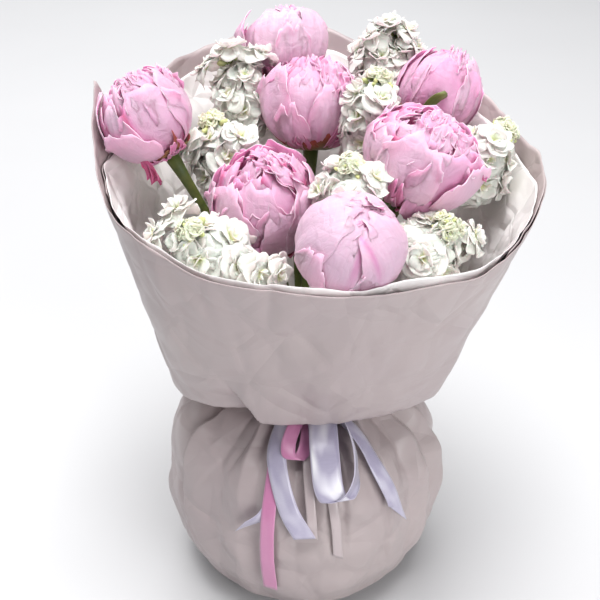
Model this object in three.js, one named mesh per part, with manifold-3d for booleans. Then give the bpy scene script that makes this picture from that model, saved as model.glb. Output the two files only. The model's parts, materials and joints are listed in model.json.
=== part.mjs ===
// A bunch of seven pink peonies and eight white stocks, tied at the neck of a two-sheet collar
// of matte film, with a creamy tissue liner and three ribbons, standing on a puffed film foot.
//
// Millimetres and degrees. +Z is up and -Y is the front. The origin is the centre of the flat
// bottom of the foot. Bearings run round +Z: 0 is +X, 90 the back, 180 the left, 270 the front.

import * as THREE from "three";
import { ParametricGeometry } from "three/addons/geometries/ParametricGeometry.js";
import { mergeVertices } from "three/addons/utils/BufferGeometryUtils.js";
import Module from "manifold-3d";

const wasm = await Module();
wasm.setup();

// ---------------------------------------------------------------- driving dimensions

const SEED = 11;
const GAP = 0.35; // between a piece and what it is seated on or cut by

const FILM_THICKNESS = 1.0;
const PETAL_THICKNESS = 0.8;
const LEAF_THICKNESS = 0.9;
const RIBBON_THICKNESS = 0.8;

// The neck, where everything is tied: the mid radii of the layers, from the inside out.
const NECK_HEIGHT = 195;
const NECK_BOTTOM = 184;
const NECK_TOP = 196;
const NECK_RADIUS = { tissue: 28.2, back: 30, front: 31.8, pouch: 33.6 };
const NECK_BAND = { inner: 34.45, outer: 36.2, bottom: 188.6, top: 193.2 };
const STEM_TIE = { bottom: 186, top: 191.5 };
const STEM_TIE_SIDES = 12;
const TIE_SLACK = 1.5; // the stems lean a little within the tie

// The foot: its mid surface from the centre of its floor up to the neck, as [radius, height].
const FOOT_PROFILE = [
  [0, 0.5],
  [70, 0.5],
  [104, 13],
  [122, 50],
  [127, 92],
  [121, 132],
  [103, 162],
  [68, 182],
  [37, 185],
  [33.6, 187],
  [33.6, 193],
];
const FOOT_PLEATS = 12;
const SHOULDER_PLEAT_DEPTH = 4.5;
const BELLY_PLEAT_DEPTH = 1.6;
const SHOULDER_PLEAT = { height: 168, spread: 16 };
const BELLY_PLEAT = { height: 45, spread: 30 };
const PLEATED_FROM = 80; // the radius beyond which the pleats draw the foot in

// The collar stands on a fold all round, above the foot. Bearing, then radius or height.
const FOLD_HEIGHT = 205;
const FLOOR_RING = { radius: 45, height: 200 };
const FOLD_RADIUS = [
  [0, 118], [25, 115], [90, 108], [155, 112], [205, 116], [240, 98], [270, 90], [300, 95], [335, 121],
];
// The cone that the sheets share runs from the fold through these radii at these heights.
const CONE_RADIUS = [
  [0, 186], [30, 185], [60, 184], [90, 184], [120, 179], [150, 169], [172, 165], [185, 164],
  [200, 160], [220, 158], [240, 150], [270, 146], [300, 147], [320, 163], [340, 178], [355, 187],
];
const CONE_HEIGHT = [
  [0, 385], [30, 416], [60, 438], [90, 450], [120, 445], [150, 440], [172, 455], [185, 418],
  [200, 388], [220, 379], [240, 366], [270, 361], [300, 353], [320, 356], [340, 367], [355, 388],
];

// Each sheet: its bearings, how far it lies outside the shared cone, and its rim's heights.
const SHEETS = {
  wrap_front: {
    from: 150,
    to: 390,
    offset: NECK_RADIUS.front - NECK_RADIUS.back,
    rim: [
      [150, 222], [157.5, 300], [165, 385], [172.5, 455], [185, 418], [200, 388], [220, 379],
      [240, 366], [270, 361], [300, 353], [320, 356], [340, 367], [355, 385], [375, 398], [390, 405],
    ],
  },
  wrap_back: {
    from: -30,
    to: 195,
    offset: 0,
    rim: [
      [-30, 366], [0, 392], [15, 405], [30, 416], [60, 438], [90, 452], [120, 446], [150, 422],
      [172.5, 402], [195, 376],
    ],
  },
  tissue_liner: {
    from: 0,
    to: 360,
    offset: NECK_RADIUS.tissue - NECK_RADIUS.back,
    rim: [
      [0, 378], [30, 402], [60, 424], [90, 432], [120, 426], [150, 405], [180, 386], [210, 377],
      [240, 370], [270, 369], [300, 366], [320, 367], [340, 371], [360, 378],
    ],
  },
};
const COLLAR_STEP = 15;
const COLLAR_EXTRA_BEARINGS = [157.5, 172.5];
const COLLAR_WALL_ROWS = 2;

// The blooms: centre, outer radius, how far open, and the turn of the petals round the axis.
const PEONIES = [
  { at: [-122, 10, 426.5], radius: 36, open: 0.55, turn: 100, leaf: 150 },
  { at: [-17, 137, 445], radius: 37.2, open: 0.6, turn: 20, leaf: 60 },
  { at: [6, 70, 416.5], radius: 41.2, open: 0.45, turn: 54, leaf: 190 },
  { at: [111.5, 80.5, 420.5], radius: 37, open: 0.4, turn: 10, leaf: 205 },
  { at: [91, -18.5, 407.5], radius: 46, open: 1, turn: 30, leaf: 300 },
  { at: [-30.5, -29, 370.5], radius: 43.5, open: 0.7, turn: 75, leaf: 215 },
  { at: [31.3, -103, 374.5], radius: 38.5, open: 0.1, turn: 18, leaf: 330 },
];
const PEONY_STEM_RADIUS = 3.4;
const PEONY_STEM_REACH = -0.7; // of the radius, from the centre along the axis
const PEONY_LEAF = { length: 62, width: 21, columns: 2 };
const SEPALS = 5;
const SEPAL_GAP = 2.4; // from the bloom's radius to the star's
const SEPAL_ANGLE = { tip: 46, notch: 15 }; // from the foot of the bloom

// The spikes of florets: centre, outer radius, and the turn of the first floret.
const STOCKS = [
  { at: [-57, 94, 436], radius: 24.5, turn: 0, leaf: 120 },
  { at: [-71.8, 40, 399.3], radius: 27.5, turn: 40, leaf: 170 },
  { at: [77.5, 127, 444], radius: 25, turn: 80, leaf: 60 },
  { at: [55.4, 34, 438.5], radius: 23, turn: 126, leaf: 90 },
  { at: [32.3, -48, 401.5], radius: 25, turn: 160, leaf: 250 },
  { at: [-77.7, -92.2, 373], radius: 28, turn: 200, leaf: 200 },
  { at: [153.5, 25, 400], radius: 26.8, turn: 240, leaf: 0 },
  { at: [97.8, -75.2, 368], radius: 27, turn: 280, leaf: 320 },
];
const STOCK_STEM_RADIUS = 3.0;
const STOCK_LEAF = { length: 58, width: 10, columns: 1 };
const SPIKE = {
  top: 13,
  tiers: [
    { height: -38, rise: 0.1, size: 0.66 },
    { height: -17, rise: 0.3, size: 0.7 },
    { height: 4, rise: 0.7, size: 0.62 },
  ],
  tierFlorets: 3,
  tierTurn: 60,
  cup: 0.52, // a floret's depth, in radii
  seat: { out: 0.16, down: 0.2 }, // where a floret's foot is sunk in the core, in radii
  core: { foot: -52, shoulder: -46, radii: [0.26, 0.3, 0.24], sides: 5 },
  stemEnd: 6, // above the top of the core, in the buds
};
const FLORET_POINTS = 8;
// Two buds stand beside the stem's end and one on it.
const BUDS = {
  count: 3,
  beside: { out: 4, up: 5, size: 3.3 },
  last: { out: 0.5, up: 9, size: 3.6 },
  taller: 1.6,
  facets: [4, 3],
};

// The stems' cut ends stand on the floor of the foot, spread and turned about the axis.
const STEM_END_HEIGHT = 1.6;
const STEM_SPREAD = 1.9;
const STEM_TWIST = 32;
const STEM_STEPS = { below: 3, above: 4 }; // of the tie
const STEM_SIDES = 5;
// How far the stems run straight at their ends and on both sides of the tie.
const STEM_RUN = { foot: 50, underTie: 60, overTie: 26, head: 120 };
// The stems start on a ring, and are drawn in and pushed apart until they lie packed.
const PACKING = { ring: 30, rounds: 900, drawIn: 0.985 };

// A leaf's outline, and the places, turns and rises that it may leave its stem by.
const LEAF_SHAPE = {
  foot: 0.16,
  tip: 0.02,
  fullness: 0.8,
  rim: 2,
  wave: 1.2,
  waves: 9,
  arch: 0.16,
  rows: 4,
};
const LEAF_SHARES = [0.86, 0.8, 0.74, 0.9, 0.68];
const LEAF_TURNS = [0, 20, -20, 40, -40, 65, -65, 95, -95, 130, -130, 170];
const LEAF_RISES = [1.5, 0.9, 2.6];
const LEAF_GUARD = 3; // how much longer and wider the room kept for a leaf is

// Ribbon routes on the foot: [bearing, distance down its surface from the neck, lift off it].
// Each route starts in its knot, and a loop ends there too.
const KNOT_HEIGHT = 191.3;
const KNOT_DOWN = 11.5;
const KNOT_LIFT = 6.5;
const RIBBONS = {
  ribbon_pink: {
    knots: [{ bearing: 261, size: [3.2, 3, 2.4] }],
    strips: [
      { width: 12, route: [[260, KNOT_DOWN, KNOT_LIFT], [256.5, 24, 4], [254.5, 41, 3],
        [255, 60, 3], [256, 81, 3], [256, 116, 3], [256, 156, 3], [256.5, 196, 3]] },
      { width: 12, route: [[261, KNOT_DOWN, KNOT_LIFT], [261.5, 26, 10.5], [261, 44, 11],
        [265.4, 60, 10], [266.9, 66, 8.5], [268.2, 66, 6.5], [269, 60, 5], [269, 42, 5], [266, 26, 5],
        [262, KNOT_DOWN, KNOT_LIFT]] },
    ],
  },
  ribbon_lilac: {
    knots: [{ bearing: 247, size: [2.8, 2.6, 2.2] }, { bearing: 286, size: [4, 3, 2.4] }],
    strips: [
      { width: 16, route: [[247, KNOT_DOWN, KNOT_LIFT], [250, 26, 8], [254, 41, 7.5],
        [256.5, 62, 7], [259.5, 81, 6.5], [266, 116, 6], [271.5, 138, 6]] },
      { width: 24, route: [[285, KNOT_DOWN, KNOT_LIFT], [283.5, 28, 12], [281, 46, 14],
        [279.5, 70, 13], [279.5, 86, 11.5], [280.2, 93, 9.5], [281.5, 93, 7], [283.5, 86, 5.5],
        [288, 70, 5], [290, 46, 5], [288, 26, 5], [286, KNOT_DOWN, KNOT_LIFT]] },
      { width: 13, route: [[287, KNOT_DOWN, KNOT_LIFT], [295, 28, 7], [300, 46, 4.5],
        [303, 66, 3.5], [304, 81, 3.2], [308, 116, 3], [309, 126, 3]] },
    ],
  },
  ribbon_beige: {
    knots: [{ bearing: 273, size: [2.4, 2.4, 2.2] }],
    strips: [
      { width: 8, route: [[272.5, KNOT_DOWN, KNOT_LIFT], [271.5, 28, 2.4], [271, 41, 2.4],
        [271.5, 81, 2.2], [272.5, 116, 2.2], [273, 134, 2]] },
      { width: 8, route: [[273.5, KNOT_DOWN, KNOT_LIFT], [277, 28, 2.4], [278.5, 41, 2.4],
        [280, 81, 2.2], [281.5, 116, 2.2], [282.5, 156, 2.2]] },
    ],
  },
};
const RIBBON_ROOT_WIDTH = 4; // gathered into the knot
const RIBBON_GATHERED = 2; // steps of its route over which a ribbon widens
const FRONT = 270;
const KNOT_SUNK = 0.8; // in the band
const KNOT_FACETS = [6, 4];

// ---------------------------------------------------------------- finishes

const FINISHES = {
  peony: new THREE.MeshStandardMaterial({ color: 0xe6a9cf, roughness: 0.6 }),
  floret: new THREE.MeshStandardMaterial({ color: 0xf3f3ea, roughness: 0.65 }),
  green: new THREE.MeshStandardMaterial({ color: 0x5f8a3c, roughness: 0.55 }),
  paleGreen: new THREE.MeshStandardMaterial({ color: 0x8fae6a, roughness: 0.6 }),
  film: new THREE.MeshStandardMaterial({ color: 0xb9adac, roughness: 0.55 }),
  tissue: new THREE.MeshStandardMaterial({ color: 0xe9e2da, roughness: 0.7 }),
  pinkSatin: new THREE.MeshStandardMaterial({ color: 0xd07bb4, roughness: 0.35 }),
  lilacSatin: new THREE.MeshStandardMaterial({ color: 0xc3bedd, roughness: 0.3 }),
  beigeRibbon: new THREE.MeshStandardMaterial({ color: 0xc4b4ab, roughness: 0.45 }),
  twine: new THREE.MeshStandardMaterial({ color: 0xa9a48f, roughness: 0.9 }),
};

// ---------------------------------------------------------------- small mathematics

const UP = new THREE.Vector3(0, 0, 1);

function radians(degrees) {
  return THREE.MathUtils.degToRad(degrees);
}

function mix(start, end, share) {
  return start + (end - start) * share;
}

function smooth(share) {
  return THREE.MathUtils.smoothstep(share, 0, 1);
}

// A repeatable stream of numbers from 0 to 1.
function randomStream(seed) {
  let state = seed;
  return () => {
    state = (state + 0x6d2b79f5) | 0;
    let word = Math.imul(state ^ (state >>> 15), 1 | state);
    word = (word + Math.imul(word ^ (word >>> 7), 61 | word)) ^ word;
    return ((word ^ (word >>> 14)) >>> 0) / 4294967296;
  };
}

// Reads a table of [bearing, value] straight between its rows.
function readTable(table, bearing) {
  let last = table.length - 1;
  if (bearing <= table[0][0]) {
    return table[0][1];
  }
  if (bearing >= table[last][0]) {
    return table[last][1];
  }
  while (table[last][0] > bearing) {
    last -= 1;
  }
  const [from, start] = table[last];
  const [to, end] = table[last + 1];
  return mix(start, end, (bearing - from) / (to - from));
}

// Reads a table that goes round once and closes on its first row.
function readRound(table, bearing) {
  const turned = ((bearing % 360) + 360) % 360;
  return readTable([...table, [table[0][0] + 360, table[0][1]]], turned);
}

function polar(radius, bearing, height) {
  const angle = radians(bearing);
  return new THREE.Vector3(radius * Math.cos(angle), radius * Math.sin(angle), height);
}

// ---------------------------------------------------------------- surfaces and solids

// Keeps only positions, shares the vertices that meet, and drops the triangles that vanish.
function weld(geometry) {
  const bare = new THREE.BufferGeometry();
  bare.setAttribute("position", geometry.attributes.position);
  bare.setIndex(geometry.index);
  const shared = mergeVertices(bare, 1e-3);
  const index = [];
  for (let corner = 0; corner < shared.index.count; corner += 3) {
    const [a, b, c] = shared.index.array.slice(corner, corner + 3);
    if (a !== b && b !== c && c !== a) {
      index.push(a, b, c);
    }
  }
  shared.setIndex(index);
  return shared;
}

function signedVolume(points, faces) {
  const [a, b, c] = [new THREE.Vector3(), new THREE.Vector3(), new THREE.Vector3()];
  let volume = 0;
  for (let corner = 0; corner < faces.length; corner += 3) {
    a.fromArray(points, faces[corner] * 3);
    b.fromArray(points, faces[corner + 1] * 3);
    c.fromArray(points, faces[corner + 2] * 3);
    volume += a.dot(b.cross(c)) / 6;
  }
  return volume;
}

function solidFrom(points, faces) {
  const turned = signedVolume(points, faces) < 0 ? faces.toReversed() : faces;
  return new wasm.Manifold(
    new wasm.Mesh({
      numProp: 3,
      vertProperties: new Float32Array(points),
      triVerts: new Uint32Array(turned),
    }),
  );
}

function solidOf(geometry) {
  const shared = weld(geometry);
  return solidFrom([...shared.attributes.position.array], [...shared.index.array]);
}

// The edges that only one triangle of the surface uses, each in that triangle's direction.
function rimEdges(index) {
  const open = new Map();
  for (let corner = 0; corner < index.length; corner += 3) {
    for (let side = 0; side < 3; side += 1) {
      const from = index[corner + side];
      const to = index[corner + ((side + 1) % 3)];
      if (!open.delete(`${to} ${from}`)) {
        open.set(`${from} ${to}`, [from, to]);
      }
    }
  }
  return [...open.values()];
}

// A surface given a thickness, split into the same triangles on both of its faces.
function thicken(geometry, thickness, offset = 0) {
  const sheet = weld(geometry);
  sheet.computeVertexNormals();
  const place = sheet.attributes.position;
  const normal = sheet.attributes.normal;
  const point = new THREE.Vector3();
  const outward = new THREE.Vector3();
  const points = [];
  for (const side of [offset + thickness / 2, offset - thickness / 2]) {
    for (let vertex = 0; vertex < place.count; vertex += 1) {
      point.fromBufferAttribute(place, vertex);
      outward.fromBufferAttribute(normal, vertex);
      points.push(...point.addScaledVector(outward, side));
    }
  }
  const under = place.count;
  const index = [...sheet.index.array];
  const faces = [];
  for (let corner = 0; corner < index.length; corner += 3) {
    const [a, b, c] = index.slice(corner, corner + 3);
    faces.push(a, b, c, a + under, c + under, b + under);
  }
  for (const [from, to] of rimEdges(index)) {
    faces.push(to, from, from + under, to, from + under, to + under);
  }
  return solidFrom(points, faces);
}

function unite(solids) {
  return solids.reduce((whole, next) => whole.add(next));
}

function placed(solid, matrix) {
  return solid.transform(matrix.elements);
}

function meshOf(name, solid, finish) {
  const { vertProperties, triVerts } = solid.getMesh();
  const geometry = new THREE.BufferGeometry();
  geometry.setAttribute("position", new THREE.BufferAttribute(vertProperties, 3));
  geometry.setIndex(new THREE.BufferAttribute(triVerts, 1));
  const mesh = new THREE.Mesh(geometry, finish);
  mesh.name = name;
  return mesh;
}

// A ring about the vertical axis.
function ring({ inner, outer, bottom, top }, sides) {
  const section = [[inner, bottom], [outer, bottom], [outer, top], [inner, top], [inner, bottom]];
  const profile = section.map(([radius, height]) => new THREE.Vector2(radius, height));
  return solidOf(new THREE.LatheGeometry(profile, sides).rotateX(Math.PI / 2));
}

// A stem along its curve, with a step at each point that the curve runs through.
function tube(curve, radius) {
  const section = new THREE.Shape(
    Array.from({ length: STEM_SIDES }, (_, side) => {
      const angle = (side / STEM_SIDES) * 2 * Math.PI;
      return new THREE.Vector2(radius * Math.cos(angle), radius * Math.sin(angle));
    }),
  );
  const shape = { extrudePath: curve, steps: curve.points.length - 1, bevelEnabled: false };
  return solidOf(new THREE.ExtrudeGeometry(section, shape));
}

// A lathe about the local +Z axis from [radius, height] rows that start and end on the axis.
function turned(rows, sides) {
  const profile = rows.map(([radius, height]) => new THREE.Vector2(radius, height));
  return solidOf(new THREE.LatheGeometry(profile, sides).rotateX(Math.PI / 2));
}

function ball(centre, radii, columns, rows) {
  const geometry = new THREE.SphereGeometry(1, columns, rows).scale(...radii).translate(...centre);
  return solidOf(geometry);
}

// ---------------------------------------------------------------- the foot

// The foot is drawn in between its pleats, which alternate with its widest columns.
function pleatDepth(height) {
  const shoulder = Math.exp(-(((height - SHOULDER_PLEAT.height) / SHOULDER_PLEAT.spread) ** 2));
  const belly = Math.exp(-(((height - BELLY_PLEAT.height) / BELLY_PLEAT.spread) ** 2));
  return SHOULDER_PLEAT_DEPTH * shoulder + BELLY_PLEAT_DEPTH * belly;
}

function buildFoot() {
  const columns = FOOT_PLEATS * 2;
  const rows = FOOT_PROFILE.length - 1;
  const surface = (across, along, target) => {
    const column = Math.round(across * columns);
    const [radius, height] = FOOT_PROFILE[Math.round(along * rows)];
    const drawn = column % 2 === 1 && radius > PLEATED_FROM ? pleatDepth(height) : 0;
    target.copy(polar(radius - drawn, (column * 360) / columns, height));
  };
  return thicken(new ParametricGeometry(surface, columns, rows), FILM_THICKNESS);
}

// ---------------------------------------------------------------- the collar

// A point of the shared cone, straight up the wall from the fold.
function conePoint(bearing, height) {
  const top = readRound(CONE_HEIGHT, bearing);
  const share = (height - FOLD_HEIGHT) / (top - FOLD_HEIGHT);
  const radius = mix(readRound(FOLD_RADIUS, bearing), readRound(CONE_RADIUS, bearing), share);
  return polar(radius, bearing, height);
}

// One column of a sheet: up the neck, out over the floor to the fold, and up the wall to the rim.
function collarColumn(bearing, rimHeight) {
  const neck = [NECK_BOTTOM, NECK_TOP].map((height) => polar(NECK_RADIUS.back, bearing, height));
  const floor = polar(FLOOR_RING.radius, bearing, FLOOR_RING.height);
  const wall = [];
  for (let row = 0; row <= COLLAR_WALL_ROWS; row += 1) {
    wall.push(conePoint(bearing, mix(FOLD_HEIGHT, rimHeight, row / COLLAR_WALL_ROWS)));
  }
  return [...neck, floor, ...wall];
}

function collarBearings(from, to) {
  const bearings = COLLAR_EXTRA_BEARINGS.filter((bearing) => bearing > from && bearing < to);
  for (let bearing = from; bearing <= to; bearing += COLLAR_STEP) {
    bearings.push(bearing);
  }
  return bearings.sort((first, second) => first - second);
}

function buildSheet({ from, to, offset, rim }) {
  const bearings = collarBearings(from, to);
  const grid = bearings.map((bearing) => collarColumn(bearing, readTable(rim, bearing)));
  const columns = grid.length - 1;
  const rows = grid[0].length - 1;
  const surface = (across, along, target) => {
    target.copy(grid[Math.round(across * columns)][Math.round(along * rows)]);
  };
  return thicken(new ParametricGeometry(surface, columns, rows), FILM_THICKNESS, offset);
}

// ---------------------------------------------------------------- the stems' routes

// Each flower's own frame: its centre, with +Z leaning away from the neck.
function flowerFrame(at) {
  const centre = new THREE.Vector3(...at);
  const axis = centre.clone().sub(new THREE.Vector3(0, 0, NECK_HEIGHT)).normalize();
  const turn = new THREE.Quaternion().setFromUnitVectors(UP, axis);
  const matrix = new THREE.Matrix4().compose(centre, turn, new THREE.Vector3(1, 1, 1));
  return { centre, axis, turn, matrix };
}

// A curve that an extrusion steps along from one of its points to the next.
class Route extends THREE.CatmullRomCurve3 {
  constructor(points) {
    super(points, false, "centripetal");
  }

  getPointAt(share, target) {
    return this.getPoint(share, target);
  }

  getTangentAt(share, target) {
    return this.getTangent(share, target);
  }
}

// Packs the stems side by side in the neck, each on its own flower's side of the bundle.
function packNeck(flowers) {
  const spots = flowers.map(({ frame }) => {
    const { axis } = frame;
    return new THREE.Vector2(axis.x, axis.y).multiplyScalar(PACKING.ring / axis.z);
  });
  for (let round = 0; round < PACKING.rounds; round += 1) {
    for (const spot of spots) {
      spot.multiplyScalar(PACKING.drawIn);
    }
    for (let one = 0; one < spots.length; one += 1) {
      for (let other = 0; other < one; other += 1) {
        const apart = flowers[one].stemRadius + flowers[other].stemRadius + 2 * GAP;
        const between = spots[one].clone().sub(spots[other]);
        const push = (apart - between.length()) / 2;
        if (push > 0) {
          between.setLength(push);
          spots[one].add(between);
          spots[other].sub(between);
        }
      }
    }
  }
  return spots;
}

// From the cut end on the floor of the foot, straight through the neck, and on to the flower.
function stemCurve(spot, frame, reach) {
  const end = spot.clone().multiplyScalar(STEM_SPREAD);
  end.rotateAround(new THREE.Vector2(), radians(STEM_TWIST));
  const tie = new THREE.Vector3(spot.x, spot.y, (STEM_TIE.bottom + STEM_TIE.top) / 2);
  const lower = new THREE.CubicBezierCurve3(
    new THREE.Vector3(end.x, end.y, STEM_END_HEIGHT),
    new THREE.Vector3(end.x, end.y, STEM_END_HEIGHT + STEM_RUN.foot),
    new THREE.Vector3(tie.x, tie.y, tie.z - STEM_RUN.underTie),
    tie,
  );
  const top = frame.centre.clone().addScaledVector(frame.axis, reach);
  const upper = new THREE.CubicBezierCurve3(
    tie,
    new THREE.Vector3(tie.x, tie.y, tie.z + STEM_RUN.overTie),
    top.clone().addScaledVector(frame.axis, -STEM_RUN.head),
    top,
  );
  const points = [...lower.getPoints(STEM_STEPS.below), ...upper.getPoints(STEM_STEPS.above).slice(1)];
  return new Route(points);
}

// ---------------------------------------------------------------- leaves

// A pointed blade from a root, leaving along a direction and drooping towards its tip.
function leafBlade(root, outward, { length, width, columns }) {
  const { foot, tip, fullness, rim, arch } = LEAF_SHAPE;
  const across = new THREE.Vector3().crossVectors(UP, outward).normalize();
  const surface = (side, along, target) => {
    const belly = Math.sin(Math.PI * mix(tip, 1 - tip, along)) ** fullness;
    const half = (width / 2) * mix(foot, 1, belly);
    const lateral = (side - 0.5) * 2;
    const wave = LEAF_SHAPE.wave * Math.sin(along * LEAF_SHAPE.waves + lateral);
    target
      .copy(root)
      .addScaledVector(outward, length * along)
      .addScaledVector(across, lateral * half)
      .addScaledVector(UP, arch * length * along * (1 - along) + Math.abs(lateral) * (rim + wave));
  };
  return thicken(new ParametricGeometry(surface, columns, LEAF_SHAPE.rows), LEAF_THICKNESS);
}

// Tries bearings and heights on a stem until the blade is clear of everything placed so far.
function clearLeaf(curve, preferred, leaf, others) {
  const room = { ...leaf, length: leaf.length + LEAF_GUARD, width: leaf.width + LEAF_GUARD };
  for (const share of LEAF_SHARES) {
    for (const turn of LEAF_TURNS) {
      for (const rise of LEAF_RISES) {
        const root = curve.getPointAt(share);
        const outward = polar(1, preferred + turn, rise).normalize();
        const blade = leafBlade(root, outward, leaf);
        const guard = leafBlade(root, outward, room);
        if (others.every((solid) => guard.intersect(solid).isEmpty())) {
          return blade;
        }
      }
    }
  }
  return null;
}

// ---------------------------------------------------------------- peonies

// The petals stand in one spiral, which joins them at their feet, outer ones first.
const PETAL_COUNT = 14;
const PETALS_PER_TURN = 5;
const PETAL_REACH = [0.97, 0.36]; // of the radius, for the outermost and the innermost petal
const PETAL_ROWS = 3;
const PETAL_LAP = 0.035; // how far, in radii, a petal's edges stand over and under its neighbours'
const PETAL_SPREAD = 0.48; // of the bearing from one petal to the next, to each side
const PETAL_SHOULDER = 22; // how many degrees lower than its tip a petal's corners end
const PETAL_BELLY = 0.88; // of its reach, at the petal's foot
// The tips' angles from the foot of the bloom, for a closed bud and for an open bloom.
const PETAL_TIP = { outer: [140, 104], inner: [168, 158], scatter: 8 };
const PETAL_FLARE = { bounds: [-0.03, 0.04], scatter: 0.015 }; // in radii
const PETAL_FALL = { tip: 0.8, reach: 1.25 }; // how fast the tip and the reach change inwards
const PETAL_LAPPED = 1.5; // the lap is full beyond 1 / 1.5 of the petal's length
const PETAL_ROUNDED = 2; // and its full reach beyond half of it
const PETAL_STACK = { first: 0.5, step: 0.45 }; // thicknesses, where the feet stand on the stem

function spiralColumns({ radius, open, turn }, random) {
  const columns = [];
  for (let petal = 0; petal < PETAL_COUNT; petal += 1) {
    const depth = petal / (PETAL_COUNT - 1);
    const { outer, inner, scatter } = PETAL_TIP;
    const bare = mix(mix(...outer, open), mix(...inner, open), depth ** PETAL_FALL.tip);
    const tip = bare + scatter * (random() - 0.5);
    const flare = mix(...PETAL_FLARE.bounds, open) * (1 - depth) + PETAL_FLARE.scatter * (random() - 0.5);
    const stack = PETAL_THICKNESS * (PETAL_STACK.first + petal * PETAL_STACK.step);
    for (const side of [-1, 0, 1]) {
      columns.push({
        side,
        flare,
        bearing: turn + ((petal + side * PETAL_SPREAD) * 360) / PETALS_PER_TURN,
        reach: mix(...PETAL_REACH, (Math.max(0, petal + side / 2) / PETAL_COUNT) ** PETAL_FALL.reach),
        tip: tip - PETAL_SHOULDER * side ** 2,
        foot: PEONY_STEM_RADIUS + 2 * GAP + stack,
        radius,
      });
    }
  }
  return columns;
}

function buildBloom(peony, random) {
  const columns = spiralColumns(peony, random);
  const last = columns.length - 1;
  const surface = (across, along, target) => {
    const { side, bearing, reach, tip, flare, foot, radius } = columns[Math.round(across * last)];
    const inner = radius * reach * PETAL_BELLY;
    const base = THREE.MathUtils.radToDeg(Math.asin(foot / inner));
    const angle = radians(mix(base, tip, along));
    const lap = PETAL_LAP * side * Math.min(1, along * PETAL_LAPPED);
    const belly = mix(PETAL_BELLY, 1, smooth(Math.min(1, along * PETAL_ROUNDED)));
    const distance = radius * (reach * belly + flare * along ** 2 + lap);
    target.copy(polar(distance * Math.sin(angle), bearing, -distance * Math.cos(angle)));
  };
  return thicken(new ParametricGeometry(surface, last, PETAL_ROWS), PETAL_THICKNESS);
}

// Five sepals in one star that cups the underside of the bloom.
function sepalStar(radius, turn) {
  const geometry = new THREE.CircleGeometry(1, SEPALS * 2);
  const place = geometry.attributes.position;
  const reach = radius + SEPAL_GAP;
  place.setXYZ(0, 0, 0, -reach);
  for (let vertex = 1; vertex < place.count; vertex += 1) {
    const isTip = vertex % 2 === 1;
    const angle = radians(isTip ? SEPAL_ANGLE.tip : SEPAL_ANGLE.notch);
    const bearing = turn + ((vertex - 1) * 180) / SEPALS;
    place.setXYZ(vertex, ...polar(reach * Math.sin(angle), bearing, -reach * Math.cos(angle)));
  }
  return thicken(geometry, LEAF_THICKNESS);
}

// ---------------------------------------------------------------- stocks

// A floret is a waved cup of four petals, its foot sunk in the spike's core.
const FLORET_HEART = 0.62; // of the cup's depth, where its inside starts
const FLORET_NOTCH = { narrow: 0.74, tall: 1.1, low: 0.86 }; // of the petals' own width and height

function floret(root, facing, radius, depth, spin) {
  const rim = depth + PETAL_THICKNESS;
  const profile = [[0, 0], [radius, depth], [radius, rim], [0, depth * FLORET_HEART]];
  const section = profile.map(([out, up]) => new THREE.Vector2(out, up));
  const geometry = new THREE.LatheGeometry(section, FLORET_POINTS).rotateX(Math.PI / 2);
  const place = geometry.attributes.position;
  for (let vertex = 0; vertex < place.count; vertex += 1) {
    const [x, y, z] = [place.getX(vertex), place.getY(vertex), place.getZ(vertex)];
    const turns = Math.atan2(y, x) / (2 * Math.PI);
    const isNotch = Math.round(turns * FLORET_POINTS + FLORET_POINTS) % 2 === 1;
    if (Math.hypot(x, y) > radius / 2) {
      const narrow = isNotch ? FLORET_NOTCH.narrow : 1;
      const tall = isNotch ? FLORET_NOTCH.tall : FLORET_NOTCH.low;
      place.setXYZ(vertex, x * narrow, y * narrow, z * tall);
    }
  }
  const turn = new THREE.Quaternion().setFromUnitVectors(UP, facing);
  geometry.rotateZ(spin).applyQuaternion(turn).translate(...root);
  return solidOf(geometry);
}

// Tiers of three florets, each tier turned to stand over the gaps of the one below.
function spikeFlorets({ radius, turn }, random) {
  const florets = [];
  const { tiers, tierFlorets, tierTurn, seat, cup } = SPIKE;
  tiers.forEach(({ height, rise, size }, tier) => {
    for (let number = 0; number < tierFlorets; number += 1) {
      const bearing = turn + tier * tierTurn + (number * 360) / tierFlorets;
      const facing = polar(1, bearing, rise).normalize();
      const root = polar(seat.out * radius, bearing, height - seat.down * rise * radius);
      florets.push(floret(root, facing, size * radius, cup * radius, random() * Math.PI));
    }
  });
  return florets;
}

function buildSpike(stock, random) {
  const { radius } = stock;
  const { top, core } = SPIKE;
  const [foot, middle, tip] = core.radii;
  const rows = [
    [0, core.foot],
    [foot * radius, core.shoulder],
    [middle * radius, 0],
    [tip * radius, top],
    [0, top + 1],
  ];
  return unite([turned(rows, core.sides), ...spikeFlorets(stock, random)]);
}

// The tip of the spike: a crowd of closed buds on the stem's end.
function spikeBuds({ turn }, allowance) {
  const buds = [];
  for (let number = 0; number < BUDS.count; number += 1) {
    const { out, up, size } = number < BUDS.count - 1 ? BUDS.beside : BUDS.last;
    const spot = polar(out, turn + number * 180, SPIKE.top + up);
    const girth = size + allowance;
    buds.push(ball([...spot], [girth, girth, girth + BUDS.taller], ...BUDS.facets));
  }
  return buds;
}

// ---------------------------------------------------------------- ribbons

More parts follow.
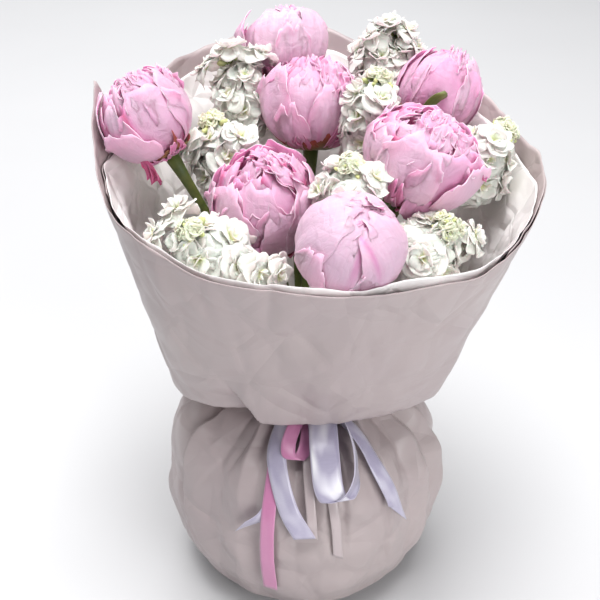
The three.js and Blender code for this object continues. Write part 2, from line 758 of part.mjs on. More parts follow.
// A point over the foot: a bearing, a distance down its surface from the neck, and a lift.
function overFoot([bearing, down, lift]) {
  const rows = FOOT_PROFILE.toReversed();
  let left = down;
  for (let row = 1; row < rows.length; row += 1) {
    const [radius, height] = rows[row - 1];
    const [nextRadius, nextHeight] = rows[row];
    const length = Math.hypot(nextRadius - radius, nextHeight - height);
    if (left <= length) {
      const share = left / length;
      const out = -(nextHeight - height) / length;
      const rise = (nextRadius - radius) / length;
      const [underRadius, underHeight] = [mix(radius, nextRadius, share), mix(height, nextHeight, share)];
      return polar(underRadius + out * lift, bearing, underHeight + rise * lift);
    }
    left -= length;
  }
  return polar(rows.at(-1)[0], bearing, rows.at(-1)[1]);
}

// A ribbon's strip along its route, level across, and gathered where it leaves its knot.
function strip({ width, route }) {
  const curve = new Route(route.map(overFoot));
  const isLoop = route.at(-1)[1] === KNOT_DOWN;
  const surface = (across, along, target) => {
    const at = curve.getPoint(along);
    const tangent = curve.getTangent(along);
    const level = new THREE.Vector3(-at.y, at.x, 0).normalize();
    level.addScaledVector(tangent, -level.dot(tangent)).normalize();
    const fromKnot = Math.min(along, isLoop ? 1 - along : 1) * (route.length - 1);
    const gathered = smooth(Math.min(1, fromKnot / RIBBON_GATHERED));
    target.copy(at).addScaledVector(level, (across - 0.5) * mix(RIBBON_ROOT_WIDTH, width, gathered));
  };
  return thicken(new ParametricGeometry(surface, 1, route.length - 1), RIBBON_THICKNESS);
}

// A knot is seated on the lilac band, whose own knots are sunk in it.
function buildKnot({ bearing, size }, seat) {
  const turn = new THREE.Matrix4().makeRotationZ(radians(bearing - FRONT));
  const centre = polar(NECK_BAND.outer + seat + size[1], bearing, KNOT_HEIGHT);
  return placed(ball([0, 0, 0], size, ...KNOT_FACETS), turn).translate([...centre]);
}

function buildRibbon(name) {
  const { knots, strips } = RIBBONS[name];
  const isBand = name === "ribbon_lilac";
  const band = isBand ? [ring(NECK_BAND, FOOT_PLEATS * 2)] : [];
  const tied = knots.map((knot) => buildKnot(knot, isBand ? -KNOT_SUNK : GAP));
  return unite([...band, ...tied, ...strips.map(strip)]);
}

// ---------------------------------------------------------------- the bunch

function buildFlowers() {
  const random = randomStream(SEED);
  const peonies = PEONIES.map((peony, number) => ({
    ...peony,
    number: number + 1,
    kind: "peony",
    frame: flowerFrame(peony.at),
    stemRadius: PEONY_STEM_RADIUS,
    head: buildBloom(peony, random),
  }));
  const stocks = STOCKS.map((stock, number) => ({
    ...stock,
    number: number + 1,
    kind: "stock",
    frame: flowerFrame(stock.at),
    stemRadius: STOCK_STEM_RADIUS,
    head: buildSpike(stock, random),
  }));
  return [...peonies, ...stocks];
}

// The green of a flower without its leaf: the stem with the sepals, or with the buds.
function greenOf(flower) {
  const { frame, radius, turn, kind, stemRadius, curve } = flower;
  const local = kind === "peony" ? [sepalStar(radius, turn)] : spikeBuds(flower, 0);
  return unite([tube(curve, stemRadius), ...local.map((solid) => placed(solid, frame.matrix))]);
}

// The room that the green takes inside the flower's head.
function roomForGreen(flower) {
  const { frame, kind, stemRadius, curve } = flower;
  const bar = tube(curve, stemRadius + 2 * GAP);
  const local = kind === "peony" ? [] : spikeBuds(flower, GAP);
  return unite([bar, ...local.map((solid) => placed(solid, frame.matrix))]);
}

// Keeps the body of a head, without the scraps that a cut leaves loose.
function largestBody(solid) {
  return solid.decompose().reduce((best, next) => (next.volume() > best.volume() ? next : best));
}

function buildBunch() {
  const bunch = new THREE.Group();
  const foot = buildFoot();
  const sheets = Object.entries(SHEETS).map(([name, sheet]) => [name, buildSheet(sheet)]);
  bunch.add(meshOf("wrap_pouch", foot, FINISHES.film));
  for (const [name, sheet] of sheets) {
    bunch.add(meshOf(name, sheet, name === "tissue_liner" ? FINISHES.tissue : FINISHES.film));
  }

  const flowers = buildFlowers();
  const spots = packNeck(flowers);
  const bundle = Math.max(...flowers.map(({ stemRadius }, order) => spots[order].length() + stemRadius));
  for (const [order, flower] of flowers.entries()) {
    const isPeony = flower.kind === "peony";
    const reach = isPeony ? PEONY_STEM_REACH * flower.radius : SPIKE.top + SPIKE.stemEnd;
    flower.curve = stemCurve(spots[order], flower.frame, reach);
    flower.green = greenOf(flower);
    const back = flower.frame.matrix.clone().invert();
    flower.head = largestBody(flower.head.subtract(placed(roomForGreen(flower), back)));
  }

  const inTheWay = sheets.map(([, sheet]) => sheet);
  inTheWay.push(...flowers.map(({ head, frame }) => placed(head, frame.matrix)));
  for (const flower of flowers) {
    const others = [...inTheWay, ...flowers.filter((other) => other !== flower).map(({ green }) => green)];
    const leaf = flower.kind === "peony" ? PEONY_LEAF : STOCK_LEAF;
    const blade = clearLeaf(flower.curve, flower.leaf, leaf, others);
    if (blade) {
      flower.green = flower.green.add(blade);
    }
  }

  for (const { kind, number, head, green, frame } of flowers) {
    const isPeony = kind === "peony";
    const headName = isPeony ? `peony_bloom_${number}` : `stock_florets_${number}`;
    const bloom = meshOf(headName, head, isPeony ? FINISHES.peony : FINISHES.floret);
    bloom.position.copy(frame.centre);
    bloom.quaternion.copy(frame.turn);
    bunch.add(bloom);
    bunch.add(meshOf(`${kind}_stem_${number}`, green, isPeony ? FINISHES.green : FINISHES.paleGreen));
  }

  const outer = NECK_RADIUS.tissue - FILM_THICKNESS / 2 - GAP;
  const tie = { ...STEM_TIE, inner: bundle + TIE_SLACK, outer };
  bunch.add(meshOf("stem_tie", ring(tie, STEM_TIE_SIDES), FINISHES.twine));
  bunch.add(meshOf("ribbon_pink", buildRibbon("ribbon_pink"), FINISHES.pinkSatin));
  bunch.add(meshOf("ribbon_lilac", buildRibbon("ribbon_lilac"), FINISHES.lilacSatin));
  bunch.add(meshOf("ribbon_beige", buildRibbon("ribbon_beige"), FINISHES.beigeRibbon));
  return bunch;
}

export default buildBunch();
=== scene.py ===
"""The looks of a bunch of seven pink peonies and eight white stocks, wrapped in matte film.

The classes keep their sizes in millimetres and degrees, and `Piece` turns them into metres.
Only the studio's own sizes are in metres.
+Z is up, -Y is the front, and bearings run round +Z from +X: 90 is the back, 270 the front.
"""
import json
import logging
import math
import random
from dataclasses import dataclass, field
from enum import Enum
from typing import Callable, Sequence

import bmesh
import bpy
from mathutils import Matrix, Vector, noise

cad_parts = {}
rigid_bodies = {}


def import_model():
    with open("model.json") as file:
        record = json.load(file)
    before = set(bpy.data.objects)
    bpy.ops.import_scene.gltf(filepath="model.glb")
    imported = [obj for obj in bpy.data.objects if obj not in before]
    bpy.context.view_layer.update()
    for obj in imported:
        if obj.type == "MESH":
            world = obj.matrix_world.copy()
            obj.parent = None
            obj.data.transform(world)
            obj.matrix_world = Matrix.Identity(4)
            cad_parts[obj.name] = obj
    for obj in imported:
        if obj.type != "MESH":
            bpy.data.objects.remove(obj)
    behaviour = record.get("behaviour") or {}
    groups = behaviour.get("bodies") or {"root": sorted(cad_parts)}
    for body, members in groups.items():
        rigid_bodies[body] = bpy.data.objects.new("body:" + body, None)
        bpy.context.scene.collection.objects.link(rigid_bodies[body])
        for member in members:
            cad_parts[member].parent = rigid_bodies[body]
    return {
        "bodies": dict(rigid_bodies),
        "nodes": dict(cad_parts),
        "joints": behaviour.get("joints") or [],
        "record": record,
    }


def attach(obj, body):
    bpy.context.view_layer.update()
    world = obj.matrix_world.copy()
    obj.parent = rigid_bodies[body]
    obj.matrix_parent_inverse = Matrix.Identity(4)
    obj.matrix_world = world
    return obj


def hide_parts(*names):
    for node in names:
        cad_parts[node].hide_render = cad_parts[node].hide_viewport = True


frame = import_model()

LOG = logging.getLogger("bunch")
MM = 0.001
BODY = "root"
UP = Vector((0.0, 0.0, 1.0))
NECK_HEIGHT = 195.0
TIE_HEIGHT = 188.75
STEM_FOOT = 1.6
FILM_THICKNESS = 0.55
GOLDEN_TURN = 137.5
WELD = 0.01
SOFTENING = (-1, -0.5, 0, 0.5, 1)
TINT = "tint"
UV = "UVMap"

Mesh = bmesh.types.BMesh
Material = bpy.types.Material
Socket = bpy.types.NodeSocket
Colour = tuple[float, float, float]
Place = tuple[float, float, float]
Pleat = tuple[float, float, float]
Table = Sequence[tuple[float, float]]
Rule = Callable[[float, float], Vector]
TintRule = Callable[[float, float], float]


# ---- small mathematics


def mix(start: float, end: float, share: float) -> float:
    """Goes from start to end as share goes from 0 to 1."""
    return start + (end - start) * share


def smooth(share: float) -> float:
    """Eases a share, held between 0 and 1."""
    held = min(1.0, max(0.0, share))
    return held * held * (3 - 2 * held)


def hump(value: float, centre: float, width: float) -> float:
    """A soft hump of height 1 round a centre."""
    return math.exp(-(((value - centre) / width) ** 2))


def polar(radius: float, bearing: float, height: float) -> Vector:
    """A point from its distance to the upright axis, its bearing and its height."""
    angle = math.radians(bearing)
    return Vector((radius * math.cos(angle), radius * math.sin(angle), height))


def read_table(table: Table, bearing: float) -> float:
    """Reads a table of (bearing, value) straight between its rows.

    Args:
        table: rows in rising order of bearing.
        bearing: where to read it; outside the table the nearest row holds.

    Returns:
        The value at that bearing.
    """
    if bearing <= table[0][0]:
        return table[0][1]
    for (low, start), (high, end) in zip(table, table[1:]):
        if bearing <= high:
            return mix(start, end, (bearing - low) / (high - low))
    return table[-1][1]


def read_round(table: Table, bearing: float) -> float:
    """Reads a table that goes round once and closes on its first row."""
    first, value = table[0]
    return read_table([*table, (first + 360.0, value)], bearing % 360.0)


def curve_point(points: Sequence[Vector], share: float) -> Vector:
    """A point of the centripetal curve through the given points.

    Args:
        points: the points that the curve runs through.
        share: from 0, the first point, to 1, the last, in equal parts between points.

    Returns:
        The point on the curve.
    """
    place = min(max(share, 0.0), 1.0) * (len(points) - 1)
    index = min(int(place), len(points) - 2)
    near, far = points[index], points[index + 1]
    before = points[index - 1] if index else near * 2 - far
    after = points[index + 2] if index + 2 < len(points) else far * 2 - near
    row = [before, near, far, after]
    knots = [0.0]
    for one, two in zip(row, row[1:]):
        knots.append(knots[-1] + max((two - one).length, 1e-6) ** 0.5)
    at = mix(knots[1], knots[2], place - index)
    for span in (1, 2):
        row = [
            row[i].lerp(row[i + 1], (at - knots[i]) / (knots[i + span] - knots[i]))
            for i in range(len(row) - 1)
        ]
    return row[0].lerp(row[1], (at - knots[1]) / (knots[2] - knots[1]))


def bezier(ends: Sequence[Vector], count: int) -> list[Vector]:
    """Equal steps along a cubic Bezier curve, from its first point to its last.

    Args:
        ends: its four control points.
        count: the number of steps.

    Returns:
        The points.
    """
    one, two, three, four = ends
    steps = []
    for step in range(count + 1):
        t = step / count
        s = 1 - t
        steps.append(one * s**3 + two * (3 * s * s * t) + three * (3 * s * t * t) + four * t**3)
    return steps


def fold_shape(beside: float, width: float, lean: float) -> float:
    """The cut through a fold: 1 at its line, steep on one side and long on the other."""
    steepness = 2.4 if beside * lean < 0 else 0.5
    return math.exp(-abs(beside) / width * steepness)


def face_to(direction: Vector) -> Matrix:
    """The turn that brings +Z to a direction."""
    return UP.rotation_difference(direction).to_matrix().to_4x4()


def shell_point(angle: float, bearing: float, sweep: float) -> Vector:
    """The way from the middle of a bloom to a point of its shell.

    Args:
        angle: how far up it is from the foot, in radians.
        bearing: its bearing, in radians.
        sweep: how far aside, in radians.

    Returns:
        A vector of length 1.
    """
    forward = Vector(
        (math.sin(angle) * math.cos(bearing), math.sin(angle) * math.sin(bearing), -math.cos(angle))
    )
    level = Vector((-math.sin(bearing), math.cos(bearing), 0.0))
    return forward * math.cos(sweep) + level * math.sin(sweep)


def facets(place: Vector) -> float:
    """The lie of a crumpled film: 0 along its creases, and up to 1 in the middle of its flats."""
    near, far = noise.voronoi(place)[0][:2]
    return min(1.0, (far - near) * 1.6)


# ---- meshes


def new_mesh() -> Mesh:
    """An empty mesh with the map and the tint that every piece here carries.

    Returns:
        The mesh.
    """
    mesh = bmesh.new()
    mesh.loops.layers.uv.new(UV)
    mesh.verts.layers.float.new(TINT)
    return mesh


def add_patch(
    mesh: Mesh,
    columns: int,
    rows: int,
    place: Rule,
    tint: TintRule | None = None,
) -> list[bmesh.types.BMVert]:
    """Adds a grid and bends it into place.

    Args:
        mesh: the mesh that gets the grid.
        columns: the faces across.
        rows: the faces along.
        place: says where the point goes that is `across` and `along`, both 0 to 1.
        tint: says how strong the tint is there, or nothing for none.

    Returns:
        The grid's vertices.
    """
    layer = mesh.verts.layers.float[TINT]
    made = bmesh.ops.create_grid(
        mesh, x_segments=columns, y_segments=rows, size=0.5, calc_uvs=True
    )["verts"]
    for vert in made:
        across, along = vert.co.x + 0.5, vert.co.y + 0.5
        vert.co = place(across, along)
        if tint:
            vert[layer] = tint(across, along)
    return made


def add_tube(
    mesh: Mesh, line: Sequence[Vector], radii: Sequence[float], sides: int = 10
) -> None:
    """Adds a closed tube along a line.

    Args:
        mesh: the mesh that gets the tube.
        line: the middle of the tube, from one end to the other.
        radii: the tube's radius at each point of the line.
        sides: the faces round it.
    """
    stops = [line[0], *line, line[-1]]
    widths = [0.0, *radii, 0.0]
    turns: list[tuple[Vector, Vector]] = []
    side = Vector((1.0, 0.0, 0.0))
    for number in range(len(stops)):
        ahead = stops[min(number + 2, len(stops) - 1)] - stops[max(number - 2, 0)]
        ahead.normalize()
        side = (side - ahead * side.dot(ahead)).normalized()
        turns.append((side.copy(), ahead.cross(side)))

    def place(across: float, along: float) -> Vector:
        """Turns the grid round the line.

        Args:
            across: 0 to 1 across the grid.
            along: 0 to 1 along the grid.

        Returns:
            The point.
        """
        number = round(along * (len(stops) - 1))
        level, above = turns[number]
        angle = math.tau * across
        return stops[number] + (level * math.cos(angle) + above * math.sin(angle)) * widths[number]

    made = add_patch(mesh, sides, len(stops) - 1, place)
    bmesh.ops.remove_doubles(mesh, verts=made, dist=0.001)


def add_ball(mesh: Mesh, sides: int, rings: int) -> list[bmesh.types.BMVert]:
    """Adds a ball of radius 1 round the origin, and gives its vertices."""
    return bmesh.ops.create_uvsphere(
        mesh, u_segments=sides, v_segments=rings, radius=1.0, calc_uvs=True
    )["verts"]


class Shell(Enum):
    """How the skin of a piece is closed."""

    SOLID = "solid"
    SHEET = "sheet"


@dataclass
class Piece:
    """One shown piece: its mesh, its finishes, and the CAD nodes that it stands for."""

    name: str
    mesh: Mesh
    finishes: Sequence[Material]
    slot: str
    nodes: Sequence[str] = ()
    shell: Shell = Shell.SHEET
    thickness: float = 0.5
    inner: int = 0
    rim: int = 0
    offset: float = 0.0

    def make(self) -> bpy.types.Object:
        """Turns the mesh into a shown object that rides on the root body.

        Returns:
            The object, at the origin, with its place in its mesh.
        """
        bmesh.ops.scale(self.mesh, vec=(MM, MM, MM), verts=self.mesh.verts)
        if self.shell is Shell.SOLID:
            bmesh.ops.recalc_face_normals(self.mesh, faces=self.mesh.faces)
        for face in self.mesh.faces:
            face.smooth = True
        data = bpy.data.meshes.new(self.name)
        self.mesh.to_mesh(data)
        self.mesh.free()
        for finish in self.finishes:
            data.materials.append(finish)
        made = bpy.data.objects.new(self.name, data)
        bpy.context.scene.collection.objects.link(made)
        if self.shell is Shell.SHEET:
            self.thicken(made)
        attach(made, BODY)
        if self.nodes:
            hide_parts(*self.nodes)
        LOG.info("%s: %d faces", self.name, len(data.polygons))
        return made

    def thicken(self, made: bpy.types.Object) -> None:
        """Gives an open sheet its thickness.

        Args:
            made: the shown object.
        """
        wall = made.modifiers.new("thickness", "SOLIDIFY")
        wall.thickness = self.thickness * MM
        wall.offset = self.offset
        wall.use_even_offset = False
        wall.material_offset = self.inner
        wall.material_offset_rim = self.rim


# ---- shader effects


class Shader:
    """A Principled material, or an effect group, while it is wired."""

    def __init__(self, tree: bpy.types.NodeTree) -> None:
        """Takes the node tree that is wired."""
        self.tree = tree

    def node(self, kind: str, **settings: object) -> bpy.types.Node:
        """Adds a node and sets its properties and inputs.

        Args:
            kind: Blender's name of the node type, without its prefix.
            **settings: a property, or an input by its name with spaces as underscores.

        Returns:
            The node.
        """
        made = self.tree.nodes.new("ShaderNode" + kind)
        for key, value in settings.items():
            if hasattr(made, key):
                setattr(made, key, value)
            else:
                self.plug(made.inputs[key.replace("_", " ")], value)
        return made

    def plug(self, socket: Socket, value: object) -> None:
        """Links a socket to another one, or sets its own value.

        Args:
            socket: the input socket.
            value: another node's socket, a number or a colour.
        """
        if isinstance(value, Socket):
            self.tree.links.new(value, socket)
        else:
            socket.default_value = value

    def ramp(self, value: Socket, stops: Table) -> Socket:
        """Reads a value through a grey ramp of (place, level) stops.

        Args:
            value: the socket that is read.
            stops: places along the value, each with its level.

        Returns:
            The result's socket.
        """
        made = self.node("ValToRGB", Fac=value)
        steps = made.color_ramp.elements
        for number, (place, level) in enumerate(stops):
            step = steps[number] if number < 2 else steps.new(place)
            step.position = place
            step.color = (level, level, level, 1)
        return made.outputs["Color"]

    def blend(
        self,
        share: Socket | float,
        first: Socket | Colour,
        second: Socket | Colour,
        mode: str = "MIX",
    ) -> Socket:
        """Mixes two colours.

        Args:
            share: how much of the second colour shows.
            first: the colour at share 0.
            second: the colour at share 1.
            mode: Blender's name of the way that they mix.

        Returns:
            The mixed colour's socket.
        """
        made = self.tree.nodes.new("ShaderNodeMix")
        made.data_type = "RGBA"
        made.blend_type = mode
        for number, value in ((0, share), (6, first), (7, second)):
            self.plug(made.inputs[number], (*value, 1.0) if isinstance(value, tuple) else value)
        return made.outputs[2]

    def maths(self, operation: str, *values: Socket | float) -> Socket:
        """Works out one sum of sockets and numbers.

        Args:
            operation: Blender's name of the sum.
            *values: the sockets and numbers.

        Returns:
            The result's socket.
        """
        made = self.tree.nodes.new("ShaderNodeMath")
        made.operation = operation
        for socket, value in zip(made.inputs, values):
            self.plug(socket, value)
        return made.outputs[0]

    def object_place(self, scale: float) -> Socket:
        """Object coordinates times a scale."""
        where = self.node("TexCoord").outputs["Object"]
        return self.node("Mapping", Vector=where, Scale=(scale,) * 3).outputs[0]

    def map_parts(self) -> bpy.types.Node:
        """The piece's own map, split into its way across and its way along."""
        return self.node("SeparateXYZ", Vector=self.node("UVMap", uv_map=UV).outputs[0])

    def stretched_map(
        self,
        across: Socket | float,
        along: Socket | float,
        level: Socket | float,
    ) -> Socket:
        """The piece's own map, stretched across and along, at a level of its own.

        Args:
            across: how often it runs across.
            along: how often it runs along.
            level: a third coordinate.

        Returns:
            The result's socket.
        """
        parts = self.map_parts().outputs
        wide = self.maths("MULTIPLY", parts[0], across)
        long = self.maths("MULTIPLY", parts[1], along)
        return self.node("CombineXYZ", X=wide, Y=long, Z=level).outputs[0]

    def tint(self) -> Socket:
        """The tint that the mesh carries."""
        return self.node("Attribute", attribute_name=TINT).outputs["Fac"]


def effect_group(
    name: str, inputs: dict[str, float], outputs: Sequence[str]
) -> tuple[Shader, bpy.types.Node, bpy.types.Node]:
    """Starts a group of nodes with named inputs and outputs.

    Args:
        name: the group's name.
        inputs: each number that it takes, with its usual value.
        outputs: each value that it puts out.

    Returns:
        The group's wiring, its input node and its output node.
    """
    tree = bpy.data.node_groups.new(name, "ShaderNodeTree")
    for key, value in inputs.items():
        tree.interface.new_socket(key, in_out="INPUT", socket_type="NodeSocketFloat").default_value = value
    for key in outputs:
        tree.interface.new_socket(key, in_out="OUTPUT", socket_type="NodeSocketFloat")
    ways = Shader(tree)
    return ways, tree.nodes.new("NodeGroupInput"), tree.nodes.new("NodeGroupOutput")


class Effects:
    """The effects that several finishes share, each built once."""

    def __init__(self) -> None:
        """Builds the groups."""
        self.streaks = self.build_streaks()
        self.crinkle = self.build_crinkle()
        self.satin = self.build_satin()

    def build_streaks(self) -> bpy.types.NodeTree:
        """Fine veins that run along a petal or a leaf, by its own map.

        Returns:
            The group.
        """
        ways, given, out = effect_group("streaks", {"Across": 26.0, "Along": 1.6}, ["Vein"])
        place = ways.stretched_map(given.outputs["Across"], given.outputs["Along"], ways.tint())
        grain = ways.node("TexNoise", Vector=place, Scale=1.0, Detail=3.0, Roughness=0.6)
        ways.tree.links.new(ways.ramp(grain.outputs["Fac"], [(0.32, 0.0), (0.68, 1.0)]), out.inputs[0])
        return ways.tree

    def build_crinkle(self) -> bpy.types.NodeTree:
        """The flat facets, fine creases and soft clouds of a handled film, by its place.

        Returns:
            The group.
        """
        inputs = {"Facet": 15.0, "Crease": 38.0, "Cloud": 7.0, "Fine": 0.05}
        ways, given, out = effect_group("crinkle", inputs, ["Fold", "Cloud"])
        place = ways.node("TexCoord").outputs["Object"]
        bend = ways.node("TexNoise", Vector=place, Scale=given.outputs["Cloud"], Detail=2.0)
        bent = ways.node("VectorMath", operation="ADD")
        ways.tree.links.new(place, bent.inputs[0])
        ways.tree.links.new(
            ways.node("VectorMath", operation="SCALE", Vector=bend.outputs["Color"], Scale=0.03).outputs[0],
            bent.inputs[1],
        )
        broad, fine = (
            ways.node(
                "TexVoronoi", feature="DISTANCE_TO_EDGE", Vector=bent.outputs[0], Scale=given.outputs[key]
            ).outputs["Distance"]
            for key in ("Facet", "Crease")
        )
        grooves = ways.ramp(fine, [(0.0, 0.0), (0.12, 1.0)])
        scratched = ways.maths("MULTIPLY", grooves, given.outputs["Fine"])
        ways.tree.links.new(ways.maths("ADD", broad, scratched), out.inputs["Fold"])
        ways.tree.links.new(bend.outputs["Fac"], out.inputs["Cloud"])
        return ways.tree

    def build_satin(self) -> bpy.types.NodeTree:
        """The fine weft of satin, its selvedges, also painted a little lighter as an edge highlight, and a
        painted highlight, by the ribbon's own map.

        Returns:
            The group.
        """
        ways, given, out = effect_group("satin", {"Weft": 90.0}, ["Weave", "Selvedge", "Painted Highlight"])
        lines = ways.stretched_map(3.0, given.outputs["Weft"], 0.0)
        grain = ways.node("TexNoise", Vector=lines, Scale=1.0, Detail=2.0)
        side = ways.maths("ABSOLUTE", ways.maths("SUBTRACT", ways.map_parts().outputs[0], 0.5))
        # painted highlight: a stretched noise that says where a near-white colour is painted over the satin
        # as its shine
        highlight_map = ways.stretched_map(1.3, 6.0, 3.0)
        painted_shine = ways.node("TexNoise", Vector=highlight_map, Scale=1.0, Detail=1.5, Roughness=0.5)
        ways.plug(out.inputs["Weave"], grain.outputs["Fac"])
        # the selvedge band: the ribbon's woven edge, painted lighter as an edge highlight too
        ways.plug(out.inputs["Selvedge"], ways.ramp(side, [(0.44, 0.0), (0.475, 1.0)]))
        ways.plug(out.inputs["Painted Highlight"], ways.ramp(painted_shine.outputs["Fac"], [(0.42, 0.0), (0.62, 1.0)]))
        return ways.tree


@dataclass(frozen=True)
class Gloss:
    """What is the same all over a surface."""

    roughness: float = 0.5
    subsurface: float = 0.0
    depth: float = 1.0
    sheen: float = 0.0
    specular: float = 0.5
    coat: float = 0.0
    coat_roughness: float = 0.22
    scatter: Colour = (1.0, 0.6, 0.7)

    def start(self, name: str) -> tuple[Shader, bpy.types.Node, Material]:
        """Makes a material and sets its even values.

        Args:
            name: the material's name.

        Returns:
            The wiring, the Principled node and the material.
        """
        made = bpy.data.materials.new(name)
        made.use_nodes = True
        body = made.node_tree.nodes["Principled BSDF"]
        even = {
            "Roughness": self.roughness,
            "Specular IOR Level": self.specular,
            "Subsurface Weight": self.subsurface,
            "Subsurface Radius": self.scatter,
            "Subsurface Scale": self.depth * MM,
            "Sheen Weight": self.sheen,
            "Coat Weight": self.coat,
            "Coat Roughness": self.coat_roughness,
        }
        for key, value in even.items():
            body.inputs[key].default_value = value
        return Shader(made.node_tree), body, made


def effect(ways: Shader, tree: bpy.types.NodeTree, **values: float) -> bpy.types.Node:
    """Places an effect group in a material with its own values.

    Args:
        ways: the material's wiring.
        tree: the group.
        **values: its inputs by name.

    Returns:
        The node.
    """
    made = ways.tree.nodes.new("ShaderNodeGroup")
    made.node_tree = tree
    for key, value in values.items():
        made.inputs[key].default_value = value
    return made


def wire_surface(
    ways: Shader,
    body: bpy.types.Node,
    colour: Socket,
    height: Socket | None = None,
    bump: float = 0.2,
    distance: float = 0.3,
) -> None:
    """Feeds a colour and, where there is one, a height into the Principled node.

    Args:
        ways: the material's wiring.
        body: its Principled node.
        colour: the colour's socket.
        height: the relief's socket, or nothing for a flat surface.
        bump: how strong the relief shows.
        distance: how tall a height of 1 is, in millimetres.
    """
    ways.tree.links.new(colour, body.inputs["Base Color"])
    if height is not None:
        made = ways.node("Bump", Strength=bump, Distance=distance * MM, Height=height)
        ways.tree.links.new(made.outputs[0], body.inputs["Normal"])


@dataclass(frozen=True)
class PetalFinish:
    """A petal's skin: pale where it is open to the light, deep where the tint is strong."""

    name: str
    pale: Colour
    middle: Colour
    deep: Colour
    vein: Colour
    gloss: Gloss = Gloss(roughness=0.52, subsurface=0.5, depth=4.5, sheen=0.1)
    across: float = 26.0
    vein_share: float = 0.26
    facet: float = 75.0
    crease: float = 170.0
    fine: float = 0.08
    ridge: float = 0.07

    def build(self, effects: Effects) -> Material:
        """Wires the material.

        Args:
            effects: the shared groups.

        Returns:
            The material.
        """
        ways, body, made = self.gloss.start(self.name)
        veins = effect(ways, effects.streaks, Across=self.across, Along=1.4)
        tint = ways.tint()
        low = ways.ramp(tint, [(0.0, 0.0), (0.5, 1.0)])
        high = ways.ramp(tint, [(0.5, 0.0), (1.0, 1.0)])
        colour = ways.blend(high, ways.blend(low, self.pale, self.middle), self.deep)
        veined = ways.blend(ways.maths("MULTIPLY", veins.outputs[0], self.vein_share), colour, self.vein)
        cloud = ways.node("TexNoise", Vector=ways.object_place(55.0), Scale=1.0, Detail=1.0)
        shaded = ways.blend(ways.maths("MULTIPLY", cloud.outputs["Fac"], 0.3), veined, self.pale)
        folds = effect(
            ways, effects.crinkle, Facet=self.facet, Crease=self.crease, Cloud=40.0, Fine=self.fine
        )
        ridges = ways.maths("MULTIPLY", veins.outputs[0], self.ridge)
        relief = ways.maths("ADD", folds.outputs["Fold"], ridges)
        wire_surface(ways, body, shaded, relief, bump=1.0, distance=1.0)
        return made


@dataclass(frozen=True)
class LeafFinish:
    """A leaf, stem or sepal: green, with a blush where the tint is strong."""

    name: str
    green: Colour
    light: Colour
    blush: Colour
    gloss: Gloss = Gloss(roughness=0.45, subsurface=0.1, depth=2.0)

    def build(self, effects: Effects) -> Material:
        """Wires the material.

        Args:
            effects: the shared groups.

        Returns:
            The material.
        """
        ways, body, made = self.gloss.start(self.name)
        veins = effect(ways, effects.streaks, Across=14.0, Along=3.0)
        cloud = ways.node("TexNoise", Vector=ways.object_place(70.0), Scale=1.0, Detail=3.0)
        patches = ways.ramp(cloud.outputs["Fac"], [(0.35, 0.0), (0.7, 1.0)])
        mottled = ways.blend(patches, self.green, self.light)
        veined = ways.blend(ways.maths("MULTIPLY", veins.outputs[0], 0.25), mottled, self.light)
        colour = ways.blend(ways.tint(), veined, self.blush)
        wire_surface(ways, body, colour, veins.outputs[0], bump=0.3, distance=0.3)
        return made


@dataclass(frozen=True)
class FilmFinish:
    """Wrapping film or tissue: facets, fine crinkles and a soft cloud over its colour."""

    name: str
    colour: Colour
    cloud: Colour
    gloss: Gloss
    facet: float = 13.0
    crease: float = 38.0
    fine: float = 0.05
    distance: float = 5.5

    def build(self, effects: Effects) -> Material:
        """Wires the material.

        Args:
            effects: the shared groups.

        Returns:
            The material.
        """
        ways, body, made = self.gloss.start(self.name)
        folds = effect(ways, effects.crinkle, Facet=self.facet, Crease=self.crease, Fine=self.fine)
        clouds = ways.ramp(folds.outputs["Cloud"], [(0.35, 0.0), (0.7, 1.0)])
        colour = ways.blend(clouds, self.colour, self.cloud)
        worn = ways.blend(ways.tint(), colour, self.cloud)
        wire_surface(ways, body, worn, folds.outputs["Fold"], bump=1.0, distance=self.distance)
        return made


@dataclass(frozen=True)
class SatinFinish:
    """Ribbon satin: a fine weft, a firmer selvedge that is also painted lighter as an edge highlight, a soft
    sheen and a painted highlight.
    """

    name: str
    colour: Colour
    edge: Colour
    # the colour of the painted highlight, and how strongly it is painted
    painted_shine: Colour
    painted_highlight: float = 0.5
    gloss: Gloss = Gloss(roughness=0.3, sheen=0.2, specular=0.7, coat=0.5)
    weft: float = 260.0

    def build(self, effects: Effects) -> Material:
        """Wires the material.

        Args:
            effects: the shared groups.

        Returns:
            The material.
        """
        ways, body, made = self.gloss.start(self.name)
        weave = effect(ways, effects.satin, Weft=self.weft)
        colour = ways.blend(ways.maths("MULTIPLY", weave.outputs["Weave"], 0.35), self.colour, self.edge)
        # painted highlight: the mesh's tint and the group's stretched noise say where the highlight colour is
        # painted over the ribbon's colour
        strength = ways.maths("MULTIPLY", ways.tint(), self.painted_highlight)
        highlight_mask = ways.maths("MULTIPLY", weave.outputs["Painted Highlight"], strength)
        highlighted = ways.blend(highlight_mask, colour, self.painted_shine)
        # the selvedge is painted in the lighter edge colour: partly the ribbon's woven edge, partly a painted
        # edge highlight
        edged = ways.blend(weave.outputs["Selvedge"], highlighted, self.edge)
        wire_surface(ways, body, edged, weave.outputs["Weave"], bump=0.2, distance=0.12)
        return made


